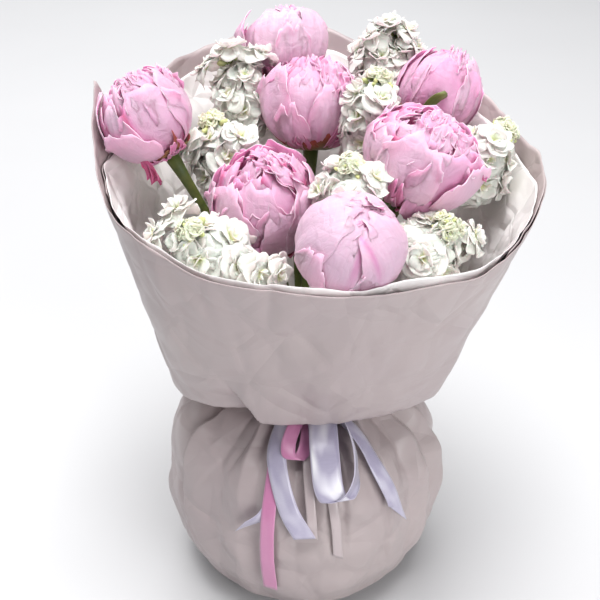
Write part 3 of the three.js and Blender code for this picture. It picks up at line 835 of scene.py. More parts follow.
class Wardrobe:
    """Every finish of the bunch, built once."""

    def __init__(self) -> None:
        """Builds the effects and the materials."""
        effects = Effects()
        self.peony_back = PetalFinish(
            "peony_petal_back",
            (0.81, 0.475, 0.63), (0.72, 0.22, 0.44), (0.52, 0.012, 0.12), (0.68, 0.25, 0.47),
        ).build(effects)
        self.peony_face = PetalFinish(
            "peony_petal_face", (0.79, 0.39, 0.58), (0.70, 0.17, 0.40), (0.52, 0.01, 0.12), (0.66, 0.18, 0.42)
        ).build(effects)
        self.peony_edge = PetalFinish(
            "peony_petal_edge", (0.84, 0.66, 0.75), (0.78, 0.45, 0.60), (0.60, 0.06, 0.20), (0.80, 0.52, 0.66)
        ).build(effects)
        self.stock = PetalFinish(
            "stock_petal", (0.84, 0.81, 0.75), (0.74, 0.76, 0.36), (0.44, 0.54, 0.06), (0.72, 0.68, 0.62),
            Gloss(roughness=0.6, subsurface=0.5, depth=4.0, sheen=0.1), 12.0, 0.25,
        ).build(effects)
        self.peony_green = LeafFinish(
            "peony_green", (0.055, 0.095, 0.018), (0.17, 0.20, 0.05), (0.42, 0.03, 0.05)
        ).build(effects)
        self.stock_green = LeafFinish(
            "stock_green", (0.10, 0.15, 0.045), (0.27, 0.33, 0.11), (0.64, 0.68, 0.30)
        ).build(effects)
        self.film = FilmFinish(
            "matte_film", (0.43, 0.36, 0.365), (0.47, 0.40, 0.395),
            Gloss(roughness=0.37, subsurface=0.05, depth=3.0, specular=0.5), 8.0, 22.0, 0.035, 16.0,
        ).build(effects)
        self.tissue = FilmFinish(
            "cream_tissue", (0.95, 0.90, 0.89), (0.98, 0.95, 0.94),
            Gloss(roughness=0.42, subsurface=0.12, depth=4.0), 14.0, 34.0, 0.09, 9.0,
        ).build(effects)
        # the third colour of each satin is its painted highlight colour; the lilac's is near white and
        # painted strongest
        self.pink_satin = SatinFinish(
            "ribbon_pink_satin", (0.54, 0.18, 0.36), (0.64, 0.28, 0.47), (0.72, 0.34, 0.54)
        ).build(effects)
        self.lilac_satin = SatinFinish(
            "ribbon_lilac_satin", (0.36, 0.33, 0.46), (0.55, 0.51, 0.64), (0.97, 0.96, 1.0), 0.95
        ).build(effects)
        self.beige_satin = SatinFinish(
            "ribbon_beige_satin", (0.47, 0.39, 0.40), (0.54, 0.46, 0.46), (0.58, 0.50, 0.50)
        ).build(effects)
        self.twine = LeafFinish(
            "tie_twine", (0.36, 0.32, 0.24), (0.5, 0.45, 0.34), (0.3, 0.26, 0.2), Gloss(roughness=0.9)
        ).build(effects)


# ---- wraps


@dataclass(frozen=True)
class Crease:
    """A fold in a film between two (bearing, height) places; its lean says which side is steep."""

    start: tuple[float, float]
    end: tuple[float, float]
    depth: float = 2.0
    width: float = 5.0
    lean: float = 0.0

    def push(self, bearing: float, height: float, radius: float) -> float:
        """How far the film is pushed out here, which is in along the fold.

        Args:
            bearing: the place's bearing.
            height: its height.
            radius: its distance from the axis, which turns bearings into lengths.

        Returns:
            Millimetres outwards.
        """
        scale = math.radians(radius)
        ahead = Vector(((self.end[0] - self.start[0]) * scale, self.end[1] - self.start[1]))
        turn = (bearing - self.start[0] + 180) % 360 - 180
        here = Vector((turn * scale, height - self.start[1]))
        long = max(ahead.length, 1e-3)
        share = here.dot(ahead) / long**2
        beyond = max(0.0, -share, share - 1) * long
        beside = (ahead.x * here.y - ahead.y * here.x) / long
        past_end = math.exp(-((beyond / (self.width * 1.6)) ** 2))
        fade = past_end * mix(0.35, 1, smooth(1.2 - abs(share - 0.5) * 2))
        return -self.depth * fold_shape(beside, self.width, self.lean) * fade


@dataclass
class Collar:
    """The cone that the collar's sheets share, above its fold."""

    fold_height: float = 205.0
    fold_radius: Table = (
        (0, 118), (25, 115), (90, 108), (155, 112), (205, 116), (240, 98), (270, 90), (300, 95), (335, 121),
    )
    cone_radius: Table = (
        (0, 186), (30, 185), (60, 184), (90, 184), (120, 179), (150, 169), (172, 165), (185, 164),
        (200, 160), (220, 158), (240, 150), (270, 146), (300, 147), (320, 163), (340, 178), (355, 187),
    )
    cone_height: Table = (
        (0, 385), (30, 416), (60, 438), (90, 450), (120, 445), (150, 440), (172, 455), (185, 418),
        (200, 388), (220, 379), (240, 366), (270, 361), (300, 353), (320, 356), (340, 367), (355, 388),
    )
    creases: tuple[Crease, ...] = (
        Crease((265.3, 324), (278.8, 277), 3.2, 8, 1.4),
        Crease((315, 302), (324, 333), 2.8, 7, -1.2),
        Crease((309, 233), (327, 239), 2.4, 7, 1.0),
        Crease((235, 252), (242, 214), 5.0, 7, 3.0),
        Crease((222, 226), (241, 218), 3.0, 6, -1.5),
        Crease((232, 352), (222, 262), 3.4, 16, 1.2),
        Crease((252, 330), (262, 285), 2.4, 10, -1.0),
        Crease((288, 330), (296, 262), 1.8, 12, -1.0),
        Crease((190, 300), (196, 250), 1.4, 8, 1.0),
        Crease((30, 330), (18, 240), 2.0, 10, 1.6),
        Crease((60, 380), (66, 250), 1.6, 9, -1.4),
        Crease((95, 400), (84, 260), 1.8, 10, 1.6),
        Crease((130, 380), (136, 250), 2.0, 9, 1.4),
        Crease((346, 320), (338, 250), 1.6, 8, 1.2),
    )
    tuck_depth: float = 11.0
    tuck_lift: float = 7.0

    def push(self, bearing: float, height: float, radius: float) -> float:
        """How far all the sheets are pushed out at a place, by creases, gathers and facets.

        Args:
            bearing: the place's bearing.
            height: its height.
            radius: its distance from the axis.

        Returns:
            Millimetres outwards.
        """
        pushed = sum(crease.push(bearing, height, radius) for crease in self.creases)
        around = polar(1.0, bearing, 0.0)
        soft = noise.noise(Vector((around.x * 1.6, around.y * 1.6, height / 90)))
        flats = facets(Vector((around.x * 1.9, around.y * 1.9, height / 105)))
        gather = abs(noise.noise(Vector((around.x * 7.0, around.y * 7.0, height / 300)))) - 0.2
        low = math.exp(-max(0.0, height - self.fold_height) / 26)
        fine = facets(Vector((around.x * 4.6, around.y * 4.6, height / 46)))
        pushed += 3.0 * soft + 4.2 * (flats - 0.5) + 1.7 * (fine - 0.5) - 3.0 * gather * low
        pushed -= self.tuck_depth * self.tucked(bearing, height)
        return pushed * smooth((radius - 48) / 45)

    def tucked(self, bearing: float, height: float) -> float:
        """How far a place lies in the tuck at the front left, where one lap goes under the next.

        Args:
            bearing: the place's bearing.
            height: its height.

        Returns:
            The share, 0 to 1.
        """
        above = height - self.fold_height
        past = bearing - (247 - 0.285 * above)
        return smooth((past + 42) / 40) * (1 - smooth(past / 3 + 0.5)) * (1 - smooth(above / 50))

    def radius(self, bearing: float, height: float) -> float:
        """The radius of the bare cone."""
        share = (height - self.fold_height) / (read_round(self.cone_height, bearing) - self.fold_height)
        return mix(read_round(self.fold_radius, bearing), read_round(self.cone_radius, bearing), share)


@dataclass
class Sheet:
    """One sheet of the collar, from inside the neck, over the fold, to its rim."""

    name: str
    slot: str
    start: float
    end: float
    offset: float
    rim: Table
    columns: int
    rows: int
    thickness: float = FILM_THICKNESS
    crumple: float = 0.0
    ragged: float = 0.5
    softness: float = 0.012
    stations: tuple[float, ...] = (0.0, 0.05, 0.12, 0.30, 1.0)

    def column(self, collar: Collar, bearing: float, along: float, rim: float) -> tuple[float, float]:
        """The radius and height of the bare sheet, straight between its stations.

        Args:
            collar: the cone that the sheets share.
            bearing: the place's bearing.
            along: 0 to 1 along the grid.
            rim: the height of the sheet's rim here.

        Returns:
            The radius and the height.
        """
        fold = collar.fold_height
        path = ((30.0, 184.0), (30.0, 196.0), (45.0, 200.0), (collar.radius(bearing, fold), fold))
        for low, high, near, far in zip(self.stations, self.stations[1:], path, path[1:]):
            if along <= high:
                share = (along - low) / (high - low)
                return mix(near[0], far[0], share), mix(near[1], far[1], share)
        low, high = self.stations[-2:]
        height = mix(fold, rim, (along - low) / (high - low))
        return collar.radius(bearing, height), height

    def crumpled(self, bearing: float, radius: float, height: float) -> float:
        """How far the crumples draw a soft sheet in, away from the sheet behind it.

        Args:
            bearing: the place's bearing.
            radius: its distance from the axis.
            height: its height.

        Returns:
            Millimetres inwards.
        """
        place = polar(radius / 46, bearing, height / 80)
        broad = 1 - facets(place)
        fine = 1 - facets(place * 2.4)
        wave = 0.5 + 0.5 * noise.noise(place * 0.8)
        below_rim = smooth((read_table(self.rim, bearing) - height) / 40)
        held = smooth((height - 212) / 40) * mix(0.05, 1, below_rim)
        return self.crumple * (0.6 * broad + 0.28 * fine + 0.4 * wave) * held

    def point(self, collar: Collar, across: float, along: float) -> Vector:
        """A point of the finished sheet, softened at its folds and set off from the cone.

        Args:
            collar: the cone that the sheets share.
            across: 0 to 1 across the grid.
            along: 0 to 1 along the grid.

        Returns:
            The point.
        """
        bearing = mix(self.start, self.end, across)
        nicks = 4.0 * (1 - facets(polar(2.6, bearing, 7.0)))
        torn = 3.0 * noise.noise(polar(5.0, bearing, self.offset)) - nicks
        rim = read_table(self.rim, bearing) + self.ragged * torn
        window = self.softness * smooth(along * 12) * smooth((1 - along) * 12)
        steps = [self.column(collar, bearing, along + window * k, rim) for k in SOFTENING]
        radius = sum(step[0] for step in steps) / 5
        height = sum(step[1] for step in steps) / 5
        pushed = collar.push(bearing, height, radius)
        inward = self.crumpled(bearing, radius, height) if self.crumple else 0.0
        upright = smooth((along - self.stations[3] + 0.04) / 0.08)
        neck = 1 - smooth(along / (self.stations[1] * 1.2))
        out = self.offset * max(upright, neck) + pushed - inward
        lifted = collar.tuck_lift * collar.tucked(bearing, height) * smooth((radius - 48) / 45)
        return polar(radius + out, bearing, height + lifted - self.offset * mix(1 - neck, 0.25, upright))

    def reach(self, collar: Collar, bearing: float, height: float) -> float:
        """How far from the axis this sheet stands at a place on its wall.

        Args:
            collar: the cone that the sheets share.
            bearing: the place's bearing.
            height: its height.

        Returns:
            Millimetres from the axis.
        """
        radius = collar.radius(bearing, height)
        pushed = collar.push(bearing, height, radius)
        return radius + self.offset + pushed - self.crumpled(bearing, radius, height)

    def build(self, collar: Collar, finish: Material) -> bpy.types.Object:
        """Builds the sheet as one piece.

        Args:
            collar: the cone that the sheets share.
            finish: its finish.

        Returns:
            The piece.
        """
        mesh = new_mesh()
        add_patch(mesh, self.columns, self.rows, lambda across, along: self.point(collar, across, along))
        if self.end - self.start >= 360:
            bmesh.ops.remove_doubles(mesh, verts=mesh.verts, dist=WELD)
        return Piece(
            f"sheet_{self.name}", mesh, [finish], self.slot, [self.name], thickness=self.thickness
        ).make()


@dataclass
class Foot:
    """The puffed closed foot, gathered at the neck and drawn in by pleats."""

    profile: tuple[tuple[float, float], ...] = (
        (0, 0.5), (70, 0.5), (104, 13), (122, 50), (127, 92), (121, 132), (103, 162), (68, 182), (37, 185),
        (33.6, 187), (33.6, 193),
    )
    columns: int = 420
    rows: int = 100
    creases: tuple[Crease, ...] = (
        Crease((195, 182), (227, 158), 4.0, 4.5, 2.6),
        Crease((184, 172), (190, 128), 3.0, 6, -1.6),
        Crease((227, 158), (219.6, 126), 3.0, 5, 2.0),
        Crease((238, 176), (233, 152), 3.4, 4, -2.0),
        Crease((231, 140), (232, 113), 3.0, 5, 2.0),
        Crease((232, 113), (238, 104), 2.0, 5, 1.0),
        Crease((316, 182), (303, 172), 3.0, 4, 1.6),
        Crease((300, 173), (286, 176), 2.4, 4, -1.2),
        Crease((300, 172), (284, 119), 2.4, 5, 1.6),
        Crease((327, 176), (321, 150), 3.6, 5, 2.0),
        Crease((345, 150), (328, 104), 2.4, 7, 1.4),
        Crease((322, 165), (320, 143), 2.0, 5, -1.4),
        Crease((292, 184), (291, 178), 2.0, 4, 0.8),
        Crease((286, 163), (280, 120), 1.8, 6, -1.2),
        Crease((208, 120), (216, 70), 1.6, 8, 1.2),
        Crease((312, 110), (300, 60), 1.6, 9, -1.2),
    )
    pleat_pairs: int = 19
    # each puff's bearing, height, width, tallness and how far it stands out
    puffs: tuple[tuple[float, float, float, float, float], ...] = (
        (196, 160, 28, 24, 15.0), (345, 150, 22, 22, 2.0),
    )

    def puffed(self, bearing: float, height: float) -> float:
        """How far the fuller places of the shoulder stand out."""
        return sum(
            out * hump((bearing - middle + 180) % 360 - 180, 0.0, wide) * hump(height, level, tall)
            for middle, level, wide, tall, out in self.puffs
        )

    def profile_point(self, along: float) -> tuple[float, float, float]:
        """The foot's bare profile.

        Args:
            along: 0 at the middle of its floor, 1 at the neck.

        Returns:
            The radius, the height and the distance left to the neck.
        """
        lengths = [math.dist(a, b) for a, b in zip(self.profile, self.profile[1:])]
        left = along * sum(lengths)
        for (low, high), length in zip(zip(self.profile, self.profile[1:]), lengths):
            if left <= length + 1e-9:
                share = left / length
                return mix(low[0], high[0], share), mix(low[1], high[1], share), (1 - along) * sum(lengths)
            left -= length
        return *self.profile[-1], 0.0

    def pleats(self) -> list[Pleat]:
        """The lines of the pleats round the neck, by turns in and out: bearing, length and depth.

        Returns:
            The lines in rising order of bearing, with neighbours past both ends of the turn.
        """
        rng = random.Random(41)
        draw = rng.uniform
        made = []
        for order in range(self.pleat_pairs):
            start = order * 360 / self.pleat_pairs + draw(-3.5, 3.5)
            made.append((start, draw(120, 250), draw(2.5, 7.5)))
            beside = start + rng.choice((1.3, 1.8, 9.0, 11.0))
            made.append((beside, draw(140, 230), draw(-6.0, -2.5)))
        made.sort()
        before = (made[-1][0] - 360, *made[-1][1:])
        return [before, *made, *((first + 360, *rest) for first, *rest in made[:2])]

    def pleated(self, bearing: float, left: float, pleats: Sequence[Pleat]) -> float:
        """How far the flat panels between the pleats' lines are drawn in.

        Args:
            bearing: the place's bearing.
            left: its distance down the film from the neck.
            pleats: the pleats' lines.

        Returns:
            Millimetres inwards.
        """
        turned = (bearing + 3.0 * math.sin(left / 90 + math.radians(bearing) * 2)) % 360
        steps = [
            (start, depth * smooth((length * 1.25 - left) / (length * 0.8)))
            for start, length, depth in pleats
        ]
        return read_table(steps, turned)

    def draw_in(
        self, bearing: float, height: float, radius: float, left: float, pleats: Sequence[Pleat]
    ) -> float:
        """How far the film is drawn in at a place by its pleats, creases and facets.

        Args:
            bearing: the place's bearing.
            height: its height.
            radius: its distance from the axis.
            left: its distance down the film from the neck.
            pleats: the pleats' lines.

        Returns:
            Millimetres inwards.
        """
        drawn = self.pleated(bearing, left, pleats) * smooth((radius - 34) / 30)
        if height > 30:
            drawn -= sum(crease.push(bearing, height, radius) for crease in self.creases)
        around = polar(1.0, bearing, 0.0)
        dent = noise.noise(Vector((around.x * 1.9, around.y * 1.9, height / 45))) * 2.4
        flats = 1 - facets(Vector((around.x * 2.6 + height / 160, around.y * 2.6, height / 62)))
        drawn += (dent + 4.0 * flats + 0.6) * smooth((radius - 60) / 40) * smooth(height / 30)
        return drawn

    def point(self, across: float, along: float, pleats: Sequence[Pleat]) -> Vector:
        """A point of the finished foot.

        Args:
            across: 0 to 1 across the grid.
            along: 0 to 1 along the grid.
            pleats: the pleats' lines.

        Returns:
            The point.
        """
        bearing = across * 360.0
        window = 0.018 * smooth(along * 10) * smooth((1 - along) * 30)
        steps = [self.profile_point(min(1.0, max(0.0, along + window * k))) for k in SOFTENING]
        radius = sum(step[0] for step in steps) / 5
        height = sum(step[1] for step in steps) / 5
        drawn = self.draw_in(bearing, height, radius, steps[2][2], pleats)
        drawn -= self.puffed(bearing, height) * smooth((radius - 50) / 30)
        steep = smooth((height - 120) / 60)
        sunk = drawn * mix(0.1, 0.8, steep) * smooth(height / 40)
        place = polar(radius - drawn * mix(0.9, 0.35, steep), bearing, height - sunk)
        place.z = max(self.profile[0][1], place.z)
        return place

    def build(self, finish: Material) -> bpy.types.Object:
        """Builds the foot as one piece.

        Args:
            finish: its finish.

        Returns:
            The piece.
        """
        mesh = new_mesh()
        pleats = self.pleats()
        add_patch(mesh, self.columns, self.rows, lambda across, along: self.point(across, along, pleats))
        bmesh.ops.remove_doubles(mesh, verts=mesh.verts, dist=WELD)
        return Piece(
            "sheet_wrap_pouch", mesh, [finish], "wrap_film", ["wrap_pouch"], thickness=FILM_THICKNESS
        ).make()

    def over(self, bearing: float, down: float, lift: float) -> Vector:
        """A point over the foot, by its distance down from the neck and its lift.

        Args:
            bearing: the bearing.
            down: the distance down the bare profile from the neck.
            lift: the distance off it.

        Returns:
            The point.
        """
        rows = list(reversed(self.profile))
        left = down
        for near, far in zip(rows, rows[1:]):
            length = math.dist(near, far)
            if left <= length:
                share = left / length
                out, rise = -(far[1] - near[1]) / length, (far[0] - near[0]) / length
                radius = mix(near[0], far[0], share) + out * lift
                return polar(radius, bearing, mix(near[1], far[1], share) + rise * lift)
            left -= length
        return polar(rows[-1][0], bearing, rows[-1][1])


def press_inside(mesh: Mesh, liner: Sheet, collar: Collar) -> None:
    """Presses a flower's outermost points in where the liner holds them.

    Args:
        mesh: the mesh that gets it.
        liner: the sheet that holds the outermost petals in.
        collar: the cone that the sheets share.
    """
    for vert in mesh.verts:
        out, height = math.hypot(vert.co.x, vert.co.y), vert.co.z
        bearing = math.degrees(math.atan2(vert.co.y, vert.co.x)) % 360
        over = height - read_round(liner.rim, bearing) - 3
        free = over > 12 or out < 0.86 * collar.radius(bearing, height)
        if free:
            continue
        clearance = 2.0
        limit = liner.reach(collar, bearing, height) - clearance + max(0.0, over)
        if out > limit:
            vert.co.x *= limit / out
            vert.co.y *= limit / out


# ---- the flowers' frames


@dataclass
class Flower:
    """What a peony and a stock share: a head on a stem that starts in the foot."""

    number: int
    at: Place
    radius: float
    turn: float
    stem_radius: float = 3.0
    spot: Vector = field(default_factory=lambda: Vector((0.0, 0.0)))

    def centre(self) -> Vector:
        """The middle of the head."""
        return Vector(self.at)

    def axis(self) -> Vector:
        """The way that the head leans, away from the neck."""
        return (self.centre() - Vector((0.0, 0.0, NECK_HEIGHT))).normalized()

    def frame(self) -> Matrix:
        """The head's own frame, with its leaning axis as +Z."""
        return Matrix.Translation(self.centre()) @ face_to(self.axis())

    def stem_line(self, reach: float) -> list[Vector]:
        """The stem's middle line, from its cut end to a point on the head's axis.

        Args:
            reach: where it ends on the axis, from the head's centre.

        Returns:
            The line's points.
        """
        spot, axis = self.spot, self.axis()
        turned = Matrix.Rotation(math.radians(32.0), 2) @ (spot * 1.9)
        foot = Vector((turned.x, turned.y, STEM_FOOT))
        tie = Vector((spot.x, spot.y, TIE_HEIGHT))
        top = self.centre() + axis * reach
        lower = bezier([foot, foot + UP * 50, tie - UP * 60, tie], 10)
        upper = bezier([tie, tie + UP * 26, top - axis * 120, top], 14)
        return lower + upper[1:]


def pack_neck(flowers: Sequence[Flower]) -> None:
    """Packs the stems side by side in the neck, each on its own flower's side.

    Args:
        flowers: all the flowers; each gets its stem's spot in the neck.
    """
    rounds, pull, gap = 900, 0.985, 0.7
    for flower in flowers:
        axis = flower.axis()
        flower.spot = Vector((axis.x, axis.y)) * (30 / axis.z)
    for _ in range(rounds):
        for flower in flowers:
            flower.spot = flower.spot * pull
        for one, flower in enumerate(flowers):
            for other in flowers[:one]:
                apart = flower.stem_radius + other.stem_radius + gap
                between = flower.spot - other.spot
                push = (apart - between.length) / 2
                if push > 0:
                    between = between.normalized() * push
                    flower.spot = flower.spot + between
                    other.spot = other.spot - between


@dataclass(frozen=True)
class Leaf:
    """One leaf: where it leaves its stem and which way it points."""

    share: float
    bearing: float
    rise: float
    length: float
    width: float
    arch: float = 0.16
    curl: float = 0.0

    def add(self, mesh: Mesh, line: Sequence[Vector]) -> None:
        """Adds the leaf to a mesh.

        Args:
            mesh: the mesh that gets the leaf.
            line: the stem that it grows from.
        """
        root = curve_point(line, self.share)
        outward = polar(1.0, self.bearing, self.rise).normalized()
        across = UP.cross(outward).normalized()
        above = outward.cross(across).normalized()

        def place(side: float, along: float) -> Vector:
            """Lays the leaf out along its arch.

            Args:
                side: 0 to 1 across the leaf.
                along: 0 to 1 along the grid.

            Returns:
                The point.
            """
            lateral = side * 2 - 1
            fullness = 0.12 + 0.88 * math.sin(math.pi * min(1.0, along**0.85 * 0.97 + 0.01)) ** 0.85
            half = self.width / 2 * (fullness if along < 0.999 else 0.02)
            droop = self.arch * self.length * along * (1 - along) - self.curl * self.length * along**3
            cup = abs(lateral) ** 1.3 * self.width * 0.16 * (1 - 0.5 * along)
            wave = 0.05 * self.width * math.sin(along * 11 + lateral * 2) * abs(lateral)
            flat = root + outward * (self.length * along) + across * (lateral * half)
            return flat + above * (droop + cup + wave)

        add_patch(mesh, 6, 14, place)


# ---- peonies


@dataclass(frozen=True)
class Petal:
    """One petal, laid over a shell of its bloom.

    Lengths are shares of the bloom's radius, and the angles `root` and `tip` are counted
    from the foot of the bloom. A petal whose tip is lower than its root bends back.
    """

    bearing: float
    tip: float
    spread: float
    shell: float = 1.0
    root: float = 9.0
    flare: float = 0.0
    lip: float = 0.0
    dent: float = 0.03
    frill: float = 0.015
    waves: float = 5.0
    notch: float = 0.0
    notch_at: float = 0.0
    shift: tuple[float, float] = (0.0, 0.0)
    depth: float = 0.0
    deepen: float = 0.0
    streak: float = 0.0
    seed: float = 0.0


@dataclass
class Peony(Flower):
    """A peony: nested petals, and the green that carries them."""

    open: float = 0.5
    blush: float = 0.15
    crown: float = 1.0
    stem_radius: float = 3.4
    leaves: tuple[Leaf, ...] = ()
    guards: tuple[Petal, ...] = ()
    tufts: tuple[tuple[float, float, int], ...] = ()
    flames: tuple[tuple[float, float], ...] = ()
    outer: int = 13
    heart: int = 30

    def tuft_petals(self) -> list[Petal]:
        """The small frilled petals that push out between the broad ones, in tufts.

        Returns:
            The petals.
        """
        rng = random.Random(900 + self.number)
        draw = rng.uniform
        made = []
        for bearing, angle, count in self.tufts:
            for _ in range(count):
                middle = angle + draw(-13, 13)
                made.append(Petal(
                    bearing=bearing + draw(-17, 17), tip=middle + draw(14, 26), spread=draw(0.17, 0.32),
                    shell=draw(0.97, 1.03), root=middle - draw(14, 24), flare=draw(0.0, 0.07),
                    lip=draw(0.0, 0.07), dent=0.05, frill=draw(0.04, 0.09), waves=draw(7.0, 12.0),
                    notch=rng.choice((0.1, 0.25, 0.35)), notch_at=draw(-0.6, 0.6), depth=0.2,
                    deepen=draw(-0.1, 0.25), streak=rng.choice((0.0, 0.8)), seed=draw(0, 50),
                ))
        return made

    def flame_petals(self) -> list[Petal]:
        """The narrow crimson petals that lick up from the foot of the bloom."""
        draw = random.Random(950 + self.number).uniform
        return [
            Petal(
                bearing + draw(-4, 4), tip + draw(-4, 4), draw(0.13, 0.22), 1.035,
                root=14, flare=0.03, frill=0.03, waves=8.0, notch=0.3, depth=0.2, deepen=0.55,
                seed=draw(0, 50),
            )
            for bearing, tip in self.flames
        ]

    def all_petals(self) -> list[Petal]:
        """The guard petals, the broad outer petals and the frilled heart.

        Returns:
            The petals.
        """
        rng = random.Random(100 + self.number)
        draw = rng.uniform
        made = [*self.guards, *self.tuft_petals(), *self.flame_petals()]
        for order in range(self.outer):
            depth = order / (self.outer + self.heart - 1)
            made.append(Petal(
                bearing=self.turn + order * GOLDEN_TURN + draw(-14, 14),
                tip=mix(157, 116, self.open) + order * 1.6 + draw(-8, 8), spread=draw(0.70, 0.92),
                shell=mix(0.985, 0.86, order / self.outer),
                flare=mix(-0.01, 0.10, self.open) * (1 - order / self.outer) + draw(-0.015, 0.02),
                lip=draw(-0.03, 0.09), dent=draw(0.04, 0.075), frill=draw(0.02, 0.05), waves=draw(3.5, 8.0),
                notch=rng.choice((0.05, 0.12, 0.2, 0.28)), notch_at=draw(-0.7, 0.7), depth=depth,
                deepen=draw(-0.1, 0.2), streak=rng.choice((0.0, 0.0, 0.6, 1.0)), seed=draw(0, 50),
            ))
        for order in range(self.heart):
            inner = order / (self.heart - 1)
            shell = mix(0.86, 0.24, inner**0.9)
            made.append(Petal(
                bearing=self.turn + order * GOLDEN_TURN + draw(-30, 30),
                tip=mix(mix(163, 134, self.open), 172, smooth(inner * 1.3)) + draw(-13, 13),
                spread=min(1.25, 0.50 / shell) * draw(0.75, 1.1), shell=shell, lip=draw(-0.03, 0.10),
                dent=draw(0.04, 0.08), frill=draw(0.03, 0.08), waves=draw(6.0, 11.0),
                notch=rng.choice((0.0, 0.12, 0.2, 0.3)), notch_at=draw(-0.7, 0.7),
                shift=(draw(-0.16, 0.16), draw(-0.16, 0.16)), depth=mix(0.3, 1, inner),
                deepen=draw(-0.05, 0.3), streak=rng.choice((0.0, 0.5, 1.0)), seed=draw(0, 50),
            ))
        return made

    def petal_point(self, petal: Petal, across: float, along: float) -> Vector:
        """A point of a petal in the bloom's own frame.

        Args:
            petal: the petal.
            across: 0 to 1 from its left edge to its right edge.
            along: 0 to 1 from its foot to its tip.

        Returns:
            The point, in millimetres.
        """
        side = across * 2 - 1
        fullness = mix(0.24, 1.0, smooth(along / 0.58)) * mix(1.0, 0.88, smooth((along - 0.7) / 0.3))
        cut = 0.8 * petal.notch * math.exp(-(((side - petal.notch_at) / 0.12) ** 2))
        lobes = 0.10 * noise.noise(Vector((side * 2.3, petal.seed, 1.0)))
        lobes += (0.05 + petal.frill * 0.5) * noise.noise(Vector((side * 6.0, petal.seed, 5.0)))
        reach = along * (1 - 0.24 * abs(side) ** 2.8 * along**3 - (cut - lobes) * along**6)
        angle = math.radians(mix(petal.root, petal.tip, reach))
        bearing = math.radians(petal.bearing)
        direction = shell_point(angle, bearing, side * petal.spread * fullness)
        broad = noise.noise(Vector((side * 1.5 + petal.seed, along * 1.9, petal.seed)))
        fine = noise.noise(Vector((side * 3.6, along * 3.2, petal.seed * 1.7)))
        rim = max(abs(side) ** 4 * smooth(along * 2), along**4)
        frill = math.sin(side * petal.waves + along * 2.0 + petal.seed * 7) + 0.8 * fine
        grown = petal.shell * mix(0.90, 1.0, smooth(along * 2))
        pushed = petal.flare * along**3 + petal.lip * smooth((along - 0.82) / 0.18)
        pushed += petal.dent * (broad + 0.3 * fine) * smooth(along * 2) + petal.frill * frill * rim
        creased = facets(Vector((side * 2.1 + petal.seed, along * 2.0 - side * 0.6, petal.seed * 1.3)))
        pushed += 0.4 * petal.dent * (creased - 0.5) * smooth(along * 2)
        pushed -= 0.022 * hump(side, 0.0, 0.14) * smooth(along * 2) * (1 - along**3)
        tall = mix(0.965, 0.90, petal.depth) * max(1.0, petal.shell) * mix(0.92, 1.0, smooth(along * 2))
        tall += pushed
        wide = grown + pushed
        lean = along * along
        return Vector((
            direction.x * wide + petal.shift[0] * lean,
            direction.y * wide + petal.shift[1] * lean,
            direction.z * tall * (self.crown if direction.z > 0 else 1.0),
        )) * self.radius

    def petal_tint(self, petal: Petal, across: float, along: float) -> float:
        """How deep the pink is: at the petal's foot, in its streak and inside the bloom.

        Args:
            petal: the petal.
            across: 0 to 1 across the grid.
            along: 0 to 1 along the grid.

        Returns:
            The tint, 0 to 1.
        """
        side = across * 2 - 1
        uneven = noise.noise(Vector((side * 3.4, petal.seed, 3.0)))
        foot = 1 - smooth(along / mix(0.16, 0.66, smooth(0.5 + 1.3 * uneven)))
        inside = 0.42 * petal.depth * (1 - smooth((along - 0.5) / 0.5))
        line = petal.streak * hump(side, petal.notch_at, 0.09) * smooth((along - 0.35) / 0.5)
        return min(1.0, max(0.0, foot + inside + 0.10 * petal.depth + petal.deepen + self.blush + line))

    def bloom(self, wardrobe: Wardrobe, liner: Sheet, collar: Collar) -> bpy.types.Object:
        """Builds the petals as one piece.

        Args:
            wardrobe: the finishes.
            liner: the sheet that holds the outermost petals in.
            collar: the cone that the sheets share.

        Returns:
            The piece.
        """
        mesh = new_mesh()
        for petal in self.all_petals():
            add_patch(
                mesh,
                20,
                15,
                lambda across, along, petal=petal: self.petal_point(petal, across, along),
                lambda across, along, petal=petal: self.petal_tint(petal, across, along),
            )
        bmesh.ops.transform(mesh, matrix=self.frame(), verts=mesh.verts)
        press_inside(mesh, liner, collar)
        finishes = [wardrobe.peony_back, wardrobe.peony_face, wardrobe.peony_edge]
        node = f"peony_bloom_{self.number}"
        return Piece(
            f"petals_peony_{self.number}", mesh, finishes, "peony_petals", [node], inner=1, rim=2
        ).make()

    def add_sepals(self, mesh: Mesh) -> None:
        """Adds the cup of sepals under the bloom, with its longer outer bracts.

        Args:
            mesh: the mesh that gets it.
        """
        frame, draw = self.frame(), random.Random(500 + self.number).uniform
        for order in range(9):
            bract = order >= 6
            bearing = math.radians(self.turn + order * (60.0 if order < 6 else 133.0) + draw(-12, 12))
            tip = draw(52, 76) if bract else draw(38, 60)
            spread = 0.13 if bract else draw(0.30, 0.46)
            lift = draw(-0.01, 0.05) if bract else draw(-0.02, 0.012)
            blush = draw(0.1, 1.0)

            def place(across: float, along: float) -> Vector:
                """Lays the sepal over the bloom's shell.

                Args:
                    across: 0 to 1 across the grid.
                    along: 0 to 1 along the grid.

                Returns:
                    The point.
                """
                side = across * 2 - 1
                angle = math.radians(mix(4, tip, along))
                tapered = smooth((along - 0.42) / 0.58) ** (1.0 if bract else 2.2)
                width = spread * mix(0.5, 1, smooth(along * 2.5)) * (1 - tapered * 0.95)
                point = shell_point(angle, bearing, side * width)
                shell = self.radius * (mix(0.93, 0.985, smooth(along * 2)) + lift * along**2) + 0.9
                return frame @ Vector((point.x * shell, point.y * shell, point.z * shell * 0.97))

            def redden(across: float, along: float) -> float:
                """Deepens the blush towards the tip and the edges."""
                return blush * smooth(abs(across * 2 - 1) * 0.5 + along * 0.7)

            add_patch(mesh, 4, 8, place, redden)

